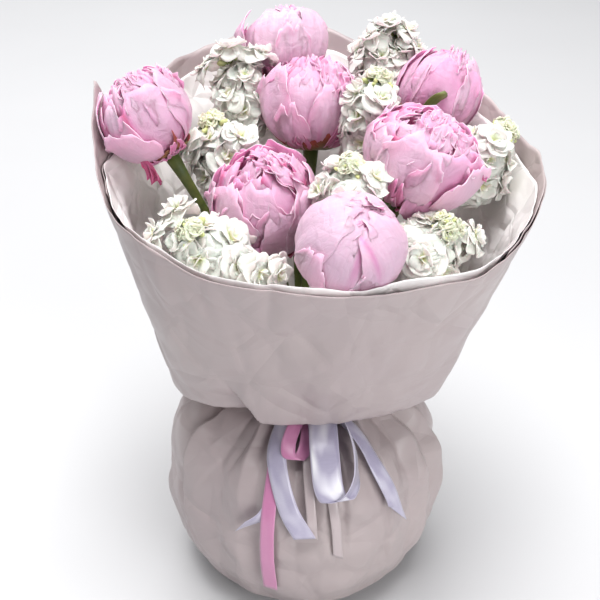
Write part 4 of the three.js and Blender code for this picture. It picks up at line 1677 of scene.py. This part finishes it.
    def green(self, wardrobe: Wardrobe) -> bpy.types.Object:
        """Builds the stem, the sepals and the leaves as one piece.

        Args:
            wardrobe: the finishes.

        Returns:
            The piece.
        """
        mesh = new_mesh()
        line = self.stem_line(-0.86 * self.radius)
        radii = [self.stem_radius * 0.92] * (len(line) - 3) + [self.stem_radius * k for k in (1.0, 1.25, 1.9)]
        add_tube(mesh, line, radii)
        self.add_sepals(mesh)
        for leaf in self.leaves:
            leaf.add(mesh, line)
        node = f"peony_stem_{self.number}"
        return Piece(
            f"green_peony_{self.number}", mesh, [wardrobe.peony_green], "peony_green", [node], thickness=0.6
        ).make()


# ---- stocks


@dataclass
class Stock(Flower):
    """A spike of double white florets with a tip of buds."""

    leaves: tuple[Leaf, ...] = ()
    sides: tuple[Place, ...] = ()
    florets: int = 14
    top: float = 13.0
    fullness: float = 1.14

    def add_floret(
        self, mesh: Mesh, place: Matrix, size: float, rng: random.Random, young: float = 0.0
    ) -> None:
        """Adds one double floret.

        Args:
            mesh: the mesh that gets it.
            place: the floret's frame, facing along its own +Z.
            size: its radius.
            rng: the stream of numbers that varies its petals.
            young: how green and how closed it still is, up to 1.
        """
        draw = rng.uniform
        # each whorl's count, length, opening angle and first bearing
        whorls = ((5, 1.0, 92.0, 0.0), (5, 0.86, 68.0, 36.0), (4, 0.66, 42.0, 15.0), (3, 0.46, 18.0, 50.0))
        for count, length, open_angle, offset in whorls:
            for number in range(count):
                bearing = math.radians(offset + number * 360 / count + draw(-16, 16))
                turn = Matrix.Rotation(bearing, 3, "Z")
                reach = size * length * draw(0.88, 1.12)
                tip = math.radians(open_angle * (1 - 0.5 * young) + draw(-14, 18))
                half = reach * draw(0.46, 0.60)
                phase = draw(0, 6.28)
                wave = size * draw(0.05, 0.12)
                curl = draw(-0.2, 0.6)
                reached = 0.36 if length > 0.7 else (0.6 if length > 0.5 else 1.0)

                def point(across: float, along: float) -> Vector:
                    """Opens the petal from the floret's heart.

                    Args:
                        across: 0 to 1 across the grid.
                        along: 0 to 1 along the grid.

                    Returns:
                        The point.
                    """
                    side = across * 2 - 1
                    run = reach * along * (1 - 0.24 * abs(side) ** 2.4 * along**2)
                    lean = tip * smooth(along * 1.6 + 0.1) + curl * along**3
                    out = run * math.sin(lean)
                    rise = run * math.cos(lean) - size * 0.30
                    width = half * mix(0.22, 1, smooth(along / 0.66))
                    width *= 1 - 0.18 * smooth((along - 0.7) / 0.3)
                    rise += wave * math.sin(side * 2.6 + phase) * along**2
                    rise += size * 0.12 * side * side * along - size * 0.05 * hump(side, 0.0, 0.3) * along
                    return place @ (turn @ Vector((out, side * width, rise)))

                def fade(across: float, along: float) -> float:
                    """Greens the petal's foot, and all of it while it is young."""
                    return min(1.0, 0.95 * (1 - smooth(along / reached)) + 0.35 * young)

                add_patch(mesh, 6, 6, point, fade)

    def spike(self, wardrobe: Wardrobe, liner: Sheet, collar: Collar) -> bpy.types.Object:
        """Builds the florets as one piece.

        Args:
            wardrobe: the finishes.
            liner: the sheet that holds the outermost petals in.
            collar: the cone that the sheets share.

        Returns:
            The piece.
        """
        mesh = new_mesh()
        rng = random.Random(300 + self.number)
        draw = rng.uniform
        frame = self.frame()
        for order in range(self.florets):
            climb = order / (self.florets - 1)
            bearing = self.turn + order * GOLDEN_TURN + draw(-9, 9)
            height = mix(-42, self.top - 7, climb**0.9) + draw(-2, 2)
            out = mix(self.radius * self.fullness - 6.0, 13.0, smooth((climb - 0.66) / 0.34))
            out *= mix(0.8, 1, smooth(climb * 3))
            rise = mix(-0.1, 1.5, climb**1.5) + draw(-0.2, 0.2)
            facing = polar(1.0, bearing + draw(-12, 12), rise).normalized()
            size = mix(20.5, 17.0, climb) * draw(0.92, 1.08) * self.radius / 26.0
            turn = face_to(facing) @ Matrix.Rotation(draw(0, 6.28), 4, "Z")
            self.add_floret(mesh, frame @ Matrix.Translation(polar(out, bearing, height)) @ turn, size, rng)
        for side in self.sides:
            facing = (Vector(side) - self.centre() + self.axis() * 22).normalized()
            turn = face_to(facing) @ Matrix.Rotation(draw(0, 6.28), 4, "Z")
            self.add_floret(mesh, Matrix.Translation(Vector(side)) @ turn, 17.5, rng)
        for order in range(6):
            bearing = self.turn + order * 60 + draw(-14, 14)
            facing = polar(1.0, bearing, draw(0.7, 1.5)).normalized()
            spot = facing * draw(8.0, 11.0) + UP * (self.top - 5.0)
            place = frame @ Matrix.Translation(spot) @ face_to(facing)
            self.add_floret(mesh, place, draw(6.0, 9.0), rng, 0.8)
        press_inside(mesh, liner, collar)
        node = f"stock_florets_{self.number}"
        return Piece(
            f"florets_stock_{self.number}", mesh, [wardrobe.stock], "stock_petals", [node], thickness=0.35
        ).make()

    def add_buds(self, mesh: Mesh) -> None:
        """Adds the closed buds at the tip of the spike and a few between the florets.

        Args:
            mesh: the mesh that gets it.
        """
        layer = mesh.verts.layers.float[TINT]
        draw = random.Random(700 + self.number).uniform
        frame = self.frame()
        for order in range(19):
            ring = 0 if order == 0 else (1 if order < 6 else (2 if order < 12 else 3))
            out = (0.0, 3.4, 6.8, 10.0)[ring] * draw(0.85, 1.15)
            height = self.top + (3.5, 2.0, -1.0, -4.0)[ring] + draw(-1.5, 1.5)
            bearing = self.turn + order * 71 + draw(-12, 12)
            lean = polar(1.0, bearing, (9.0, 1.6, 0.9, 0.5)[ring]).normalized()
            size = (2.0, 1.9, 2.1, 2.3)[ring] * draw(0.75, 1.25)
            shape = Matrix.Diagonal((size * 0.72, size * 0.72, size * 1.7, 1.0))
            place = frame @ Matrix.Translation(polar(out, bearing, height)) @ face_to(lean) @ shape
            for vert in add_ball(mesh, 8, 6):
                ridge = 1 + 0.10 * math.cos(4 * math.atan2(vert.co.y, vert.co.x))
                vert[layer] = 0.05 + 0.95 * smooth(vert.co.z * 0.6 + 0.45)
                vert.co = place @ Vector((vert.co.x * ridge, vert.co.y * ridge, vert.co.z))

    def green(self, wardrobe: Wardrobe) -> bpy.types.Object:
        """Builds the stem, the buds and the leaves as one piece.

        Args:
            wardrobe: the finishes.

        Returns:
            The piece.
        """
        mesh = new_mesh()
        line = self.stem_line(self.top + 6)
        add_tube(mesh, line, [self.stem_radius * 0.93] * (len(line) - 1) + [self.stem_radius * 0.6], 8)
        self.add_buds(mesh)
        for leaf in self.leaves:
            leaf.add(mesh, line)
        node = f"stock_stem_{self.number}"
        return Piece(f"green_stock_{self.number}", mesh, [wardrobe.stock_green], "stock_green", [node]).make()


# ---- ribbons


class Lay(Enum):
    """How a ribbon's strip lies."""

    TAIL = "hung"
    LOOP = "folded"


@dataclass
class Strip:
    """One strip of ribbon from its knot, by (bearing, distance down the foot, lift)."""

    name: str
    width: float
    lay: Lay
    route: tuple[Place, ...]
    cut: float = 0.0
    roll: Table = ((0.0, 0.0),)
    root_width: float = 4.0
    knot_down: float = 11.5
    knot_lift: float = 6.5
    steps: int = 72
    cord_width: float = 10.0

    def line(self, foot: Foot) -> list[Vector]:
        """The strip's middle line."""
        stations = [foot.over(*station) for station in self.full_route()]
        return [curve_point(stations, step / self.steps) for step in range(self.steps + 1)]

    def full_route(self) -> list[Place]:
        """The route with its start in the knot, and its end there too if it is a loop.

        Returns:
            The stations: bearing, distance down and lift.
        """
        route = list(self.route)
        first = (route[0][0] + (-1 if route[1][0] > route[0][0] else 1), self.knot_down, self.knot_lift)
        last = [(route[-1][0], self.knot_down, self.knot_lift)] if self.lay is Lay.LOOP else []
        return [first, *route, *last]

    def add(self, mesh: Mesh, foot: Foot) -> float:
        """Adds the strip to a mesh, and gives its length.

        Args:
            mesh: the mesh that gets it.
            foot: the foot that it lies over.

        Returns:
            The length, in millimetres.
        """
        line = self.line(foot)
        length = sum((two - one).length for one, two in zip(line, line[1:]))
        parts = len(self.full_route()) - 1

        def place(across: float, along: float) -> Vector:
            """Lays the strip along its line, gathered at its knot.

            Args:
                across: 0 to 1 across the grid.
                along: 0 to 1 along the grid.

            Returns:
                The point.
            """
            step = along * self.steps
            index = min(int(step + 1e-6), self.steps - 1)
            at = line[index].lerp(line[index + 1], step - index)
            ahead = (line[min(index + 2, self.steps)] - line[max(index - 1, 0)]).normalized()
            level = Vector((-at.y, at.x, 0.0)).normalized()
            above = Vector((at.x, at.y, 0.5 * math.hypot(at.x, at.y))).normalized()
            if self.lay is Lay.TAIL:
                level = (level - ahead * level.dot(ahead)).normalized()
                above = (above - ahead * above.dot(ahead)).normalized()
            turn = Matrix.Rotation(math.radians(read_table(self.roll, along)), 3, ahead)
            level, above = turn @ level, turn @ above
            from_knot = min(along, 1 - along if self.lay is Lay.LOOP else 1.0) * parts
            width = mix(self.root_width, self.width, smooth(min(1.0, from_knot / 1.6)))
            side = across - 0.5
            slant = ahead * (self.cut * side * smooth((along - 0.9) / 0.1))
            cup = -abs(side) ** 2 * width * 0.10
            ripple = 0.5 * math.sin(along * 17 + side * 2) * smooth(from_knot)
            return at + level * (side * width) + above * (cup + ripple) + slant

        # painted highlight: the tint carries how strongly each part of the strip gets the satin's painted
        # highlight
        def painted_highlight(across: float, along: float) -> float:
            """Paints a stronger highlight on the top of a loop than on a tail."""
            return 0.35 + 0.75 * hump(along, 0.26, 0.16) if self.lay is Lay.LOOP else 0.22

        add_patch(mesh, 6, self.steps, place, painted_highlight)
        return length


@dataclass
class Knot:
    """A small turned knot of ribbon on the band at the neck."""

    bearing: float
    size: Place
    seat: float = 0.35
    height: float = 191.3
    band: float = 36.2

    def add(self, mesh: Mesh) -> None:
        """Adds the knot's wound turns to a mesh.

        Args:
            mesh: the mesh that gets it.
        """
        centre = polar(self.band + self.seat + self.size[1], self.bearing, self.height)
        turn = Matrix.Rotation(math.radians(self.bearing - 270), 3, "Z")
        wide, deep, tall = self.size
        for vert in add_ball(mesh, 20, 14):
            swirl = math.sin(4 * math.atan2(vert.co.z, vert.co.x) + 5 * vert.co.y)
            ridge = 1 + 0.07 * swirl
            place = Vector((vert.co.x * wide * ridge, vert.co.y * deep, vert.co.z * tall * ridge))
            vert.co = centre + turn @ place


@dataclass
class Ribbon:
    """All the strips and knots of one colour of ribbon."""

    node: str
    slot: str
    strips: tuple[Strip, ...]
    knots: tuple[Knot, ...]
    band: bool = False
    band_radius: float = 35.3
    band_low: float = 187.2
    band_high: float = 194.2
    thickness: float = 0.4

    def build(self, foot: Foot, finish: Material) -> list[bpy.types.Object]:
        """Builds each strip as a piece, with the knots beside them.

        Args:
            foot: the foot that the strips lie over.
            finish: the ribbon's satin.

        Returns:
            The pieces, the knots last.
        """
        mesh = new_mesh()
        for knot in self.knots:
            knot.add(mesh)
        tied = Piece(f"{self.node}_knots", mesh, [finish], self.slot, [self.node], Shell.SOLID).make()
        made = [self.build_strip(strip, foot, finish) for strip in self.strips]
        if self.band:
            made.append(self.build_band(finish))
        return [*made, tied]

    def build_strip(self, strip: Strip, foot: Foot, finish: Material) -> bpy.types.Object:
        """Builds one strip.

        Args:
            strip: the strip.
            foot: the foot that it lies over.
            finish: its finish.

        Returns:
            The piece.
        """
        mesh = new_mesh()
        length = strip.add(mesh, foot)
        made = self.sheet_piece(strip.name, mesh, finish)
        line = strip.line(foot)
        return made

    def sheet_piece(
        self, name: str, mesh: Mesh, finish: Material
    ) -> bpy.types.Object:
        """Makes a strip's or the band's mesh into its piece.

        Args:
            name: what the piece is called after its ribbon.
            mesh: its mesh.
            finish: the ribbon's satin.

        Returns:
            The piece.
        """
        called = f"{self.node}_{name}"
        return Piece(called, mesh, [finish], self.slot, [self.node], thickness=self.thickness).make()

    def build_band(self, finish: Material) -> bpy.types.Object:
        """Builds the band of ribbon that ties the neck.

        Args:
            finish: its finish.

        Returns:
            The piece.
        """
        mesh = new_mesh()
        radius = self.band_radius

        def place(across: float, along: float) -> Vector:
            """Rolls the band round the neck in soft folds.

            Args:
                across: 0 to 1 across the grid.
                along: 0 to 1 along the grid.

            Returns:
                The point.
            """
            bearing = across * 360
            fold = 0.5 * math.sin(along * 9 + math.sin(bearing / 23.0))
            return polar(radius + fold, bearing, mix(self.band_low, self.band_high, along))

        add_patch(mesh, 96, 8, place)
        bmesh.ops.remove_doubles(mesh, verts=mesh.verts, dist=WELD)
        made = self.sheet_piece("band", mesh, finish)
        return made


# ---- the studio


@dataclass
class Studio:
    """The camera, the lights and the pale floor."""

    camera_place: Place = (-0.004, -0.729, 0.704)
    pitch: float = 30.9
    lens: float = 60.0
    sensor: float = 36.0
    # each lamp's name, place, aim, side and power
    lamps: tuple[tuple[str, Place, Place, float, float], ...] = (
        ("overhead", (0.0, -0.3, 3.2), (0.0, 0.0, 0.28), 1.6, 112.0),
        ("window", (-1.7, 0.9, 1.9), (0.0, 0.0, 0.28), 1.1, 7.0),
        ("key", (1.1, -1.7, 0.9), (0.0, 0.0, 0.28), 1.2, 22.0),
        ("far", (-0.6, 2.4, 2.6), (0.0, 1.9, 0.0), 2.4, 60.0),
    )
    air: Colour = (0.93, 0.94, 0.96)
    air_strength: float = 0.34
    floor_side: float = 16.0
    floor_ahead: float = 3.0

    def build(self) -> None:
        """Builds the whole studio, seen through a plain view."""
        bpy.context.scene.view_settings.view_transform = "Standard"
        self.build_camera()
        self.build_floor()
        for lamp in self.lamps:
            self.build_light(*lamp)
        world = bpy.data.worlds.new("studio")
        world.use_nodes = True
        bpy.context.scene.world = world
        light = world.node_tree.nodes["Background"]
        light.inputs["Color"].default_value = (*self.air, 1)
        light.inputs["Strength"].default_value = self.air_strength

    def build_camera(self) -> None:
        """Builds the camera at the photograph's view."""
        data = bpy.data.cameras.new("camera")
        data.lens, data.sensor_width = self.lens, self.sensor
        data.clip_start, data.clip_end = 0.01, 50
        camera = bpy.data.objects.new("camera", data)
        camera.location = self.camera_place
        camera.rotation_euler = (math.radians(90 - self.pitch), 0.0, 0.0)
        bpy.context.scene.collection.objects.link(camera)
        bpy.context.scene.camera = camera

    def build_floor(self) -> None:
        """Builds the plain pale floor."""
        mesh, side, ahead = new_mesh(), self.floor_side, self.floor_ahead
        add_patch(
            mesh, 2, 2,
            lambda across, along: Vector(((across - 0.5) * side, (along - 0.5) * side + ahead, 0.0)),
        )
        data = bpy.data.meshes.new("floor")
        mesh.to_mesh(data)
        mesh.free()
        ways, body, made = Gloss(roughness=0.55).start("pale_floor")
        cloud = ways.node("TexNoise", Vector=ways.object_place(3.0), Scale=1.0, Detail=2.0)
        wire_surface(ways, body, ways.blend(cloud.outputs["Fac"], (0.55, 0.55, 0.56), (0.58, 0.58, 0.59)))
        data.materials.append(made)
        floor = bpy.data.objects.new("floor", data)
        bpy.context.scene.collection.objects.link(floor)

    def build_light(self, name: str, place: Place, aim: Place, size: float, power: float) -> None:
        """Builds a square soft light.

        Args:
            name: the light's name.
            place: where it stands, in metres.
            aim: the point that it faces, in metres.
            size: its side, in metres.
            power: its power, in watts.
        """
        data = bpy.data.lights.new(name, "AREA")
        data.size, data.energy = size, power
        light = bpy.data.objects.new(name, data)
        light.location = place
        light.rotation_euler = (Vector(place) - Vector(aim)).to_track_quat("Z", "Y").to_euler()
        bpy.context.scene.collection.objects.link(light)


# ---- the bunch


PEONIES = (
    Peony(
        1, (-122, 10, 426.5), 36, 100, open=0.5, blush=0.05,
        guards=(
            Petal(192, 150, 0.42, 1.03, flare=0.16, lip=-0.04, dent=0.02, seed=3),
            Petal(238, 100, 0.70, 1.02, flare=0.10, lip=0.04, dent=0.03, seed=5),
            Petal(243, 30, 0.09, 1.03, root=60, flare=0.42, frill=0.05, deepen=1, seed=8),
            Petal(237, 34, 0.07, 1.03, root=58, flare=0.34, frill=0.06, deepen=1, seed=9),
        ),
        tufts=((20, 120, 6), (322, 142, 6)), flames=((300, 62), (308, 48), (292, 44), (250, 46)),
    ),
    Peony(
        2, (-17, 137, 445), 37.2, 20, open=0.45, blush=-0.06, crown=0.86,
        guards=(
            Petal(
                304, 140, 0.62, 1.03, flare=0.13, dent=0.06, deepen=-0.15, notch=0.25, notch_at=-0.3,
                seed=12,
            ),
            Petal(262, 134, 0.60, 1.0, flare=0.10, dent=0.05, deepen=-0.1, notch=0.2, notch_at=0.5, seed=14),
            Petal(282, 108, 0.42, 1.04, flare=0.05, lip=0.04, dent=0.05, deepen=-0.15, notch=0.2, seed=17),
            Petal(200, 136, 0.26, 1.04, flare=0.20, seed=16),
        ),
        tufts=((300, 150, 5),), flames=((277, 64), (243, 56)),
    ),
    Peony(
        3, (6, 70, 416.5), 41.2, 54, open=0.45, blush=0.1, crown=0.9, leaves=(Leaf(0.86, 200, 0.9, 52, 20),),
        guards=(
            Petal(262, 134, 0.52, 1.0, flare=0.01, dent=0.06, notch=0.3, notch_at=0.4, seed=21),
            Petal(218, 136, 0.50, 1.04, flare=0.09, lip=0.07, dent=0.05, notch=0.2, notch_at=-0.4, seed=23),
            Petal(292, 116, 0.44, 1.03, flare=0.03, lip=0.05, dent=0.06, notch=0.3, notch_at=0.2, seed=25),
            Petal(244, 92, 0.36, 1.05, flare=0.03, lip=0.04, dent=0.05, notch=0.2, seed=27),
        ),
        tufts=((306, 104, 9), (285, 150, 5)), flames=((259, 56), (313, 66), (322, 58), (240, 44)),
    ),
    Peony(
        4, (111.5, 80.5, 420.5), 37, 10, open=0.35, blush=0.12, leaves=(Leaf(0.985, 300, 1.45, 62, 28),),
        tufts=((262, 150, 5),), flames=((224, 58),),
    ),
    Peony(
        5, (91, -18.5, 407.5), 46, 30, open=0.8, blush=0.04, crown=0.74,
        guards=(
            Petal(322, 122, 0.66, 1.03, flare=0.07, lip=0.05, dent=0.04, deepen=-0.12, seed=31),
            Petal(272, 42, 0.22, 1.0, root=88, flare=0.16, deepen=0.1, seed=33),
            Petal(266, 160, 0.20, 1.0, root=118, flare=0.15, dent=0.02, seed=35),
            Petal(246, 132, 0.55, 1.02, flare=0.07, lip=0.12, deepen=-0.1, seed=37),
            Petal(200, 118, 0.50, 1.02, flare=0.05, seed=39),
        ),
        tufts=((290, 138, 7), (250, 148, 5)), flames=((244, 80), (240, 56), (268, 50)),
    ),
    Peony(
        6, (-30.5, -29, 370.5), 43.5, 75, open=0.55, blush=0.05,
        guards=(
            Petal(292, 112, 0.50, 1.01, flare=0.03, lip=-0.04, dent=0.03, seed=41),
            Petal(322, 118, 0.55, 0.99, flare=0.03, seed=43),
        ),
        tufts=((344, 146, 9), (236, 62, 5)), flames=((310, 76), (318, 62), (232, 48)),
    ),
    Peony(
        7, (31.3, -103, 374.5), 36.8, 18, open=0.0, blush=0.02, outer=10, heart=16,
        guards=(
            Petal(54, 164, 0.20, 1.0, root=128, flare=0.17, dent=0.02, seed=51),
            Petal(92, 212, 0.85, 1.02, dent=0.03, frill=0.03, seed=52),
            Petal(254, 168, 0.74, 1.05, dent=0.03, streak=0.7, notch_at=0.35, deepen=-0.08, seed=53),
            Petal(188, 176, 0.70, 1.075, dent=0.03, deepen=-0.1, seed=55),
            Petal(322, 170, 0.72, 1.095, dent=0.03, frill=0.03, notch_at=-0.5, streak=0.5, seed=57),
            Petal(40, 172, 0.80, 1.04, dent=0.03, notch=0.2, seed=59),
            Petal(130, 168, 0.70, 1.03, dent=0.03, notch=0.2, seed=60),
            Petal(222, 122, 0.44, 1.10, dent=0.03, lip=0.03, seed=61),
            Petal(286, 112, 0.40, 1.12, dent=0.03, lip=0.03, notch=0.1, notch_at=0.4, seed=62),
        ),
        flames=((262, 40),),
    ),
)

STOCKS = (
    Stock(1, (-57, 94, 436), 24.5, 0, sides=((-86, 92, 443), (-62, 88, 462), (-36, 96, 455))),
    Stock(2, (-71.8, 40, 399.3), 27.5, 40, sides=((-98, 30, 402), (-50, 22, 408))),
    Stock(
        3, (77.5, 127, 444), 25, 80,
        sides=((44, 122, 449), (58, 118, 464), (98, 118, 452), (70, 124, 473), (88, 122, 466)),
    ),
    Stock(4, (55.4, 34, 438.5), 23, 126, sides=((60, 16, 442), (48, 20, 420))),
    Stock(5, (32.3, -48, 401.5), 25, 160, sides=((8, -56, 396), (34, -76, 398), (52, -62, 410))),
    Stock(
        6, (-77.7, -92.2, 373), 28, 200, leaves=(Leaf(0.80, 35, 6.0, 62, 13),),
        sides=((-112, -84, 374), (-96, -72, 390), (-46, -112, 362), (-30, -116, 358), (-17, -108, 353)),
    ),
    Stock(7, (153.5, 25, 400), 26.8, 240, sides=((148, 4, 412), (150, 8, 385))),
    Stock(8, (97.8, -75.2, 368), 27, 280, sides=((66, -90, 368), (128, -72, 366), (84, -100, 362))),
)

SHEETS = (
    Sheet(
        "wrap_back", "wrap_film", -30, 195, 0.0,
        (
            (-30, 366), (0, 392), (15, 405), (30, 416), (60, 438), (90, 452), (120, 446), (150, 424),
            (172.5, 409), (195, 391),
        ),
        220, 84, ragged=1.5,
    ),
    Sheet(
        "wrap_front", "wrap_film", 150, 390, 1.8,
        (
            (150, 240), (157.5, 328), (165, 408), (172.5, 457), (185, 418), (200, 388), (220, 379),
            (240, 366),
            (270, 361), (300, 353), (320, 356), (340, 367), (355, 385), (375, 398), (390, 405),
        ),
        240, 84,
    ),
    Sheet(
        "tissue_liner", "wrap_tissue", 0, 360, -1.2,
        (
            (0, 380), (30, 404), (60, 426), (90, 434), (120, 428), (150, 412), (170, 408), (180, 404),
            (195, 393), (210, 384), (240, 371), (270, 367), (300, 362), (320, 365), (340, 371), (360, 380),
        ),
        400, 100, 0.25, 8.5, 1.5,
    ),
)

RIBBONS = (
    Ribbon(
        "ribbon_pink", "ribbon_pink_satin",
        (
            Strip(
                "tail", 12, Lay.TAIL,
                (
                    (256.5, 24, 4), (254.5, 41, 3.5), (255, 60, 3), (256, 81, 3), (256, 116, 4),
                    (256, 156, 3), (256.5, 196, 3),
                ),
                3, ((0, 20), (0.4, 12), (0.7, 0)),
            ),
            Strip(
                "loop", 12, Lay.LOOP,
                (
                    (267, 24, 10), (263.5, 44, 13), (261.5, 60, 13), (262.5, 69, 11), (266, 71, 9),
                    (269.5, 64, 8), (272, 46, 7), (272, 26, 5),
                ),
                0, ((0, 0), (0.3, -18), (0.5, 0), (0.7, 26), (1, 10)),
            ),
        ),
        (Knot(261, (3.2, 3, 2.4)),),
    ),
    Ribbon(
        "ribbon_lilac", "ribbon_lilac_satin",
        (
            Strip(
                "left_tail", 16, Lay.TAIL,
                ((250, 26, 8), (253.5, 41, 8.5), (255, 62, 9), (258, 81, 8), (264, 110, 6), (270, 132, 6)),
                9, ((0, 55), (0.3, 40), (0.62, 5), (1, -8)),
            ),
            Strip(
                "loop", 24, Lay.LOOP,
                (
                    (283, 28, 12), (280.5, 46, 18), (279, 70, 19), (279.3, 92, 16), (281.5, 101, 13),
                    (285, 101, 12),
                    (289.5, 92, 14), (293.5, 74, 16), (294, 46, 16), (290, 26, 9),
                ),
                0, ((0, 0), (0.45, 0), (0.56, 26), (0.68, 64), (0.86, 72), (1, 20)),
            ),
            Strip(
                "right_tail", 13, Lay.TAIL,
                ((295, 28, 7), (300, 46, 6), (302.5, 66, 5), (303.5, 86, 4.4), (306, 110, 4), (308, 130, 4)),
                26, ((0, -30), (0.4, -20), (0.8, 0)),
            ),
            Strip(
                "short_end", 10, Lay.TAIL,
                (
                    (250.5, 26, 4), (254, 46, 2), (256.5, 70, 1), (257, 98, 0.8), (254, 116, 1.2),
                    (245.5, 130, 6),
                ),
                16, ((0, 0), (0.7, 0), (0.88, -40), (1, -72)),
            ),
        ),
        (Knot(247, (2.8, 2.6, 2.2), -0.8), Knot(286, (4, 3, 2.4), -0.8)),
        band=True,
    ),
    Ribbon(
        "ribbon_beige", "ribbon_beige_satin",
        (
            Strip(
                "left", 8, Lay.TAIL,
                ((271.5, 28, 2.4), (271, 41, 2.4), (271.5, 81, 2.2), (272.5, 116, 2.2), (273, 134, 2)), 5,
            ),
            Strip(
                "right", 8, Lay.TAIL,
                ((277, 28, 2.4), (278.5, 41, 2.4), (280, 81, 2.2), (281.5, 116, 2.2), (282.5, 156, 2.2)), 5,
            ),
        ),
        (Knot(273, (2.4, 2.4, 2.2)),),
    ),
)


class Bunch:
    """The whole object, built in order from the foot up."""

    def __init__(self) -> None:
        """Sets out what the pieces share."""
        self.wardrobe = Wardrobe()
        self.collar = Collar()
        self.foot = Foot()

    def build(self) -> None:
        """Builds every piece and dresses the one CAD node that stays."""
        finishes, liner = self.wardrobe, SHEETS[-1]
        satins = (finishes.pink_satin, finishes.lilac_satin, finishes.beige_satin)
        for ribbon, satin in zip(RIBBONS, satins):
            ribbon.build(self.foot, satin)
        self.foot.build(finishes.film)
        for sheet in SHEETS:
            sheet.build(self.collar, finishes.tissue if sheet is liner else finishes.film)
        pack_neck([*PEONIES, *STOCKS])
        for peony in PEONIES:
            peony.bloom(finishes, liner, self.collar)
            peony.green(finishes)
        for stock in STOCKS:
            stock.spike(finishes, liner, self.collar)
            stock.green(finishes)
        tie = frame["nodes"]["stem_tie"]
        tie.data.materials.clear()
        tie.data.materials.append(finishes.twine)


def main() -> None:
    logging.basicConfig(level=logging.INFO, format="%(message)s")
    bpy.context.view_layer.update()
    Studio().build()
    Bunch().build()


if __name__ == "__main__":
    main()
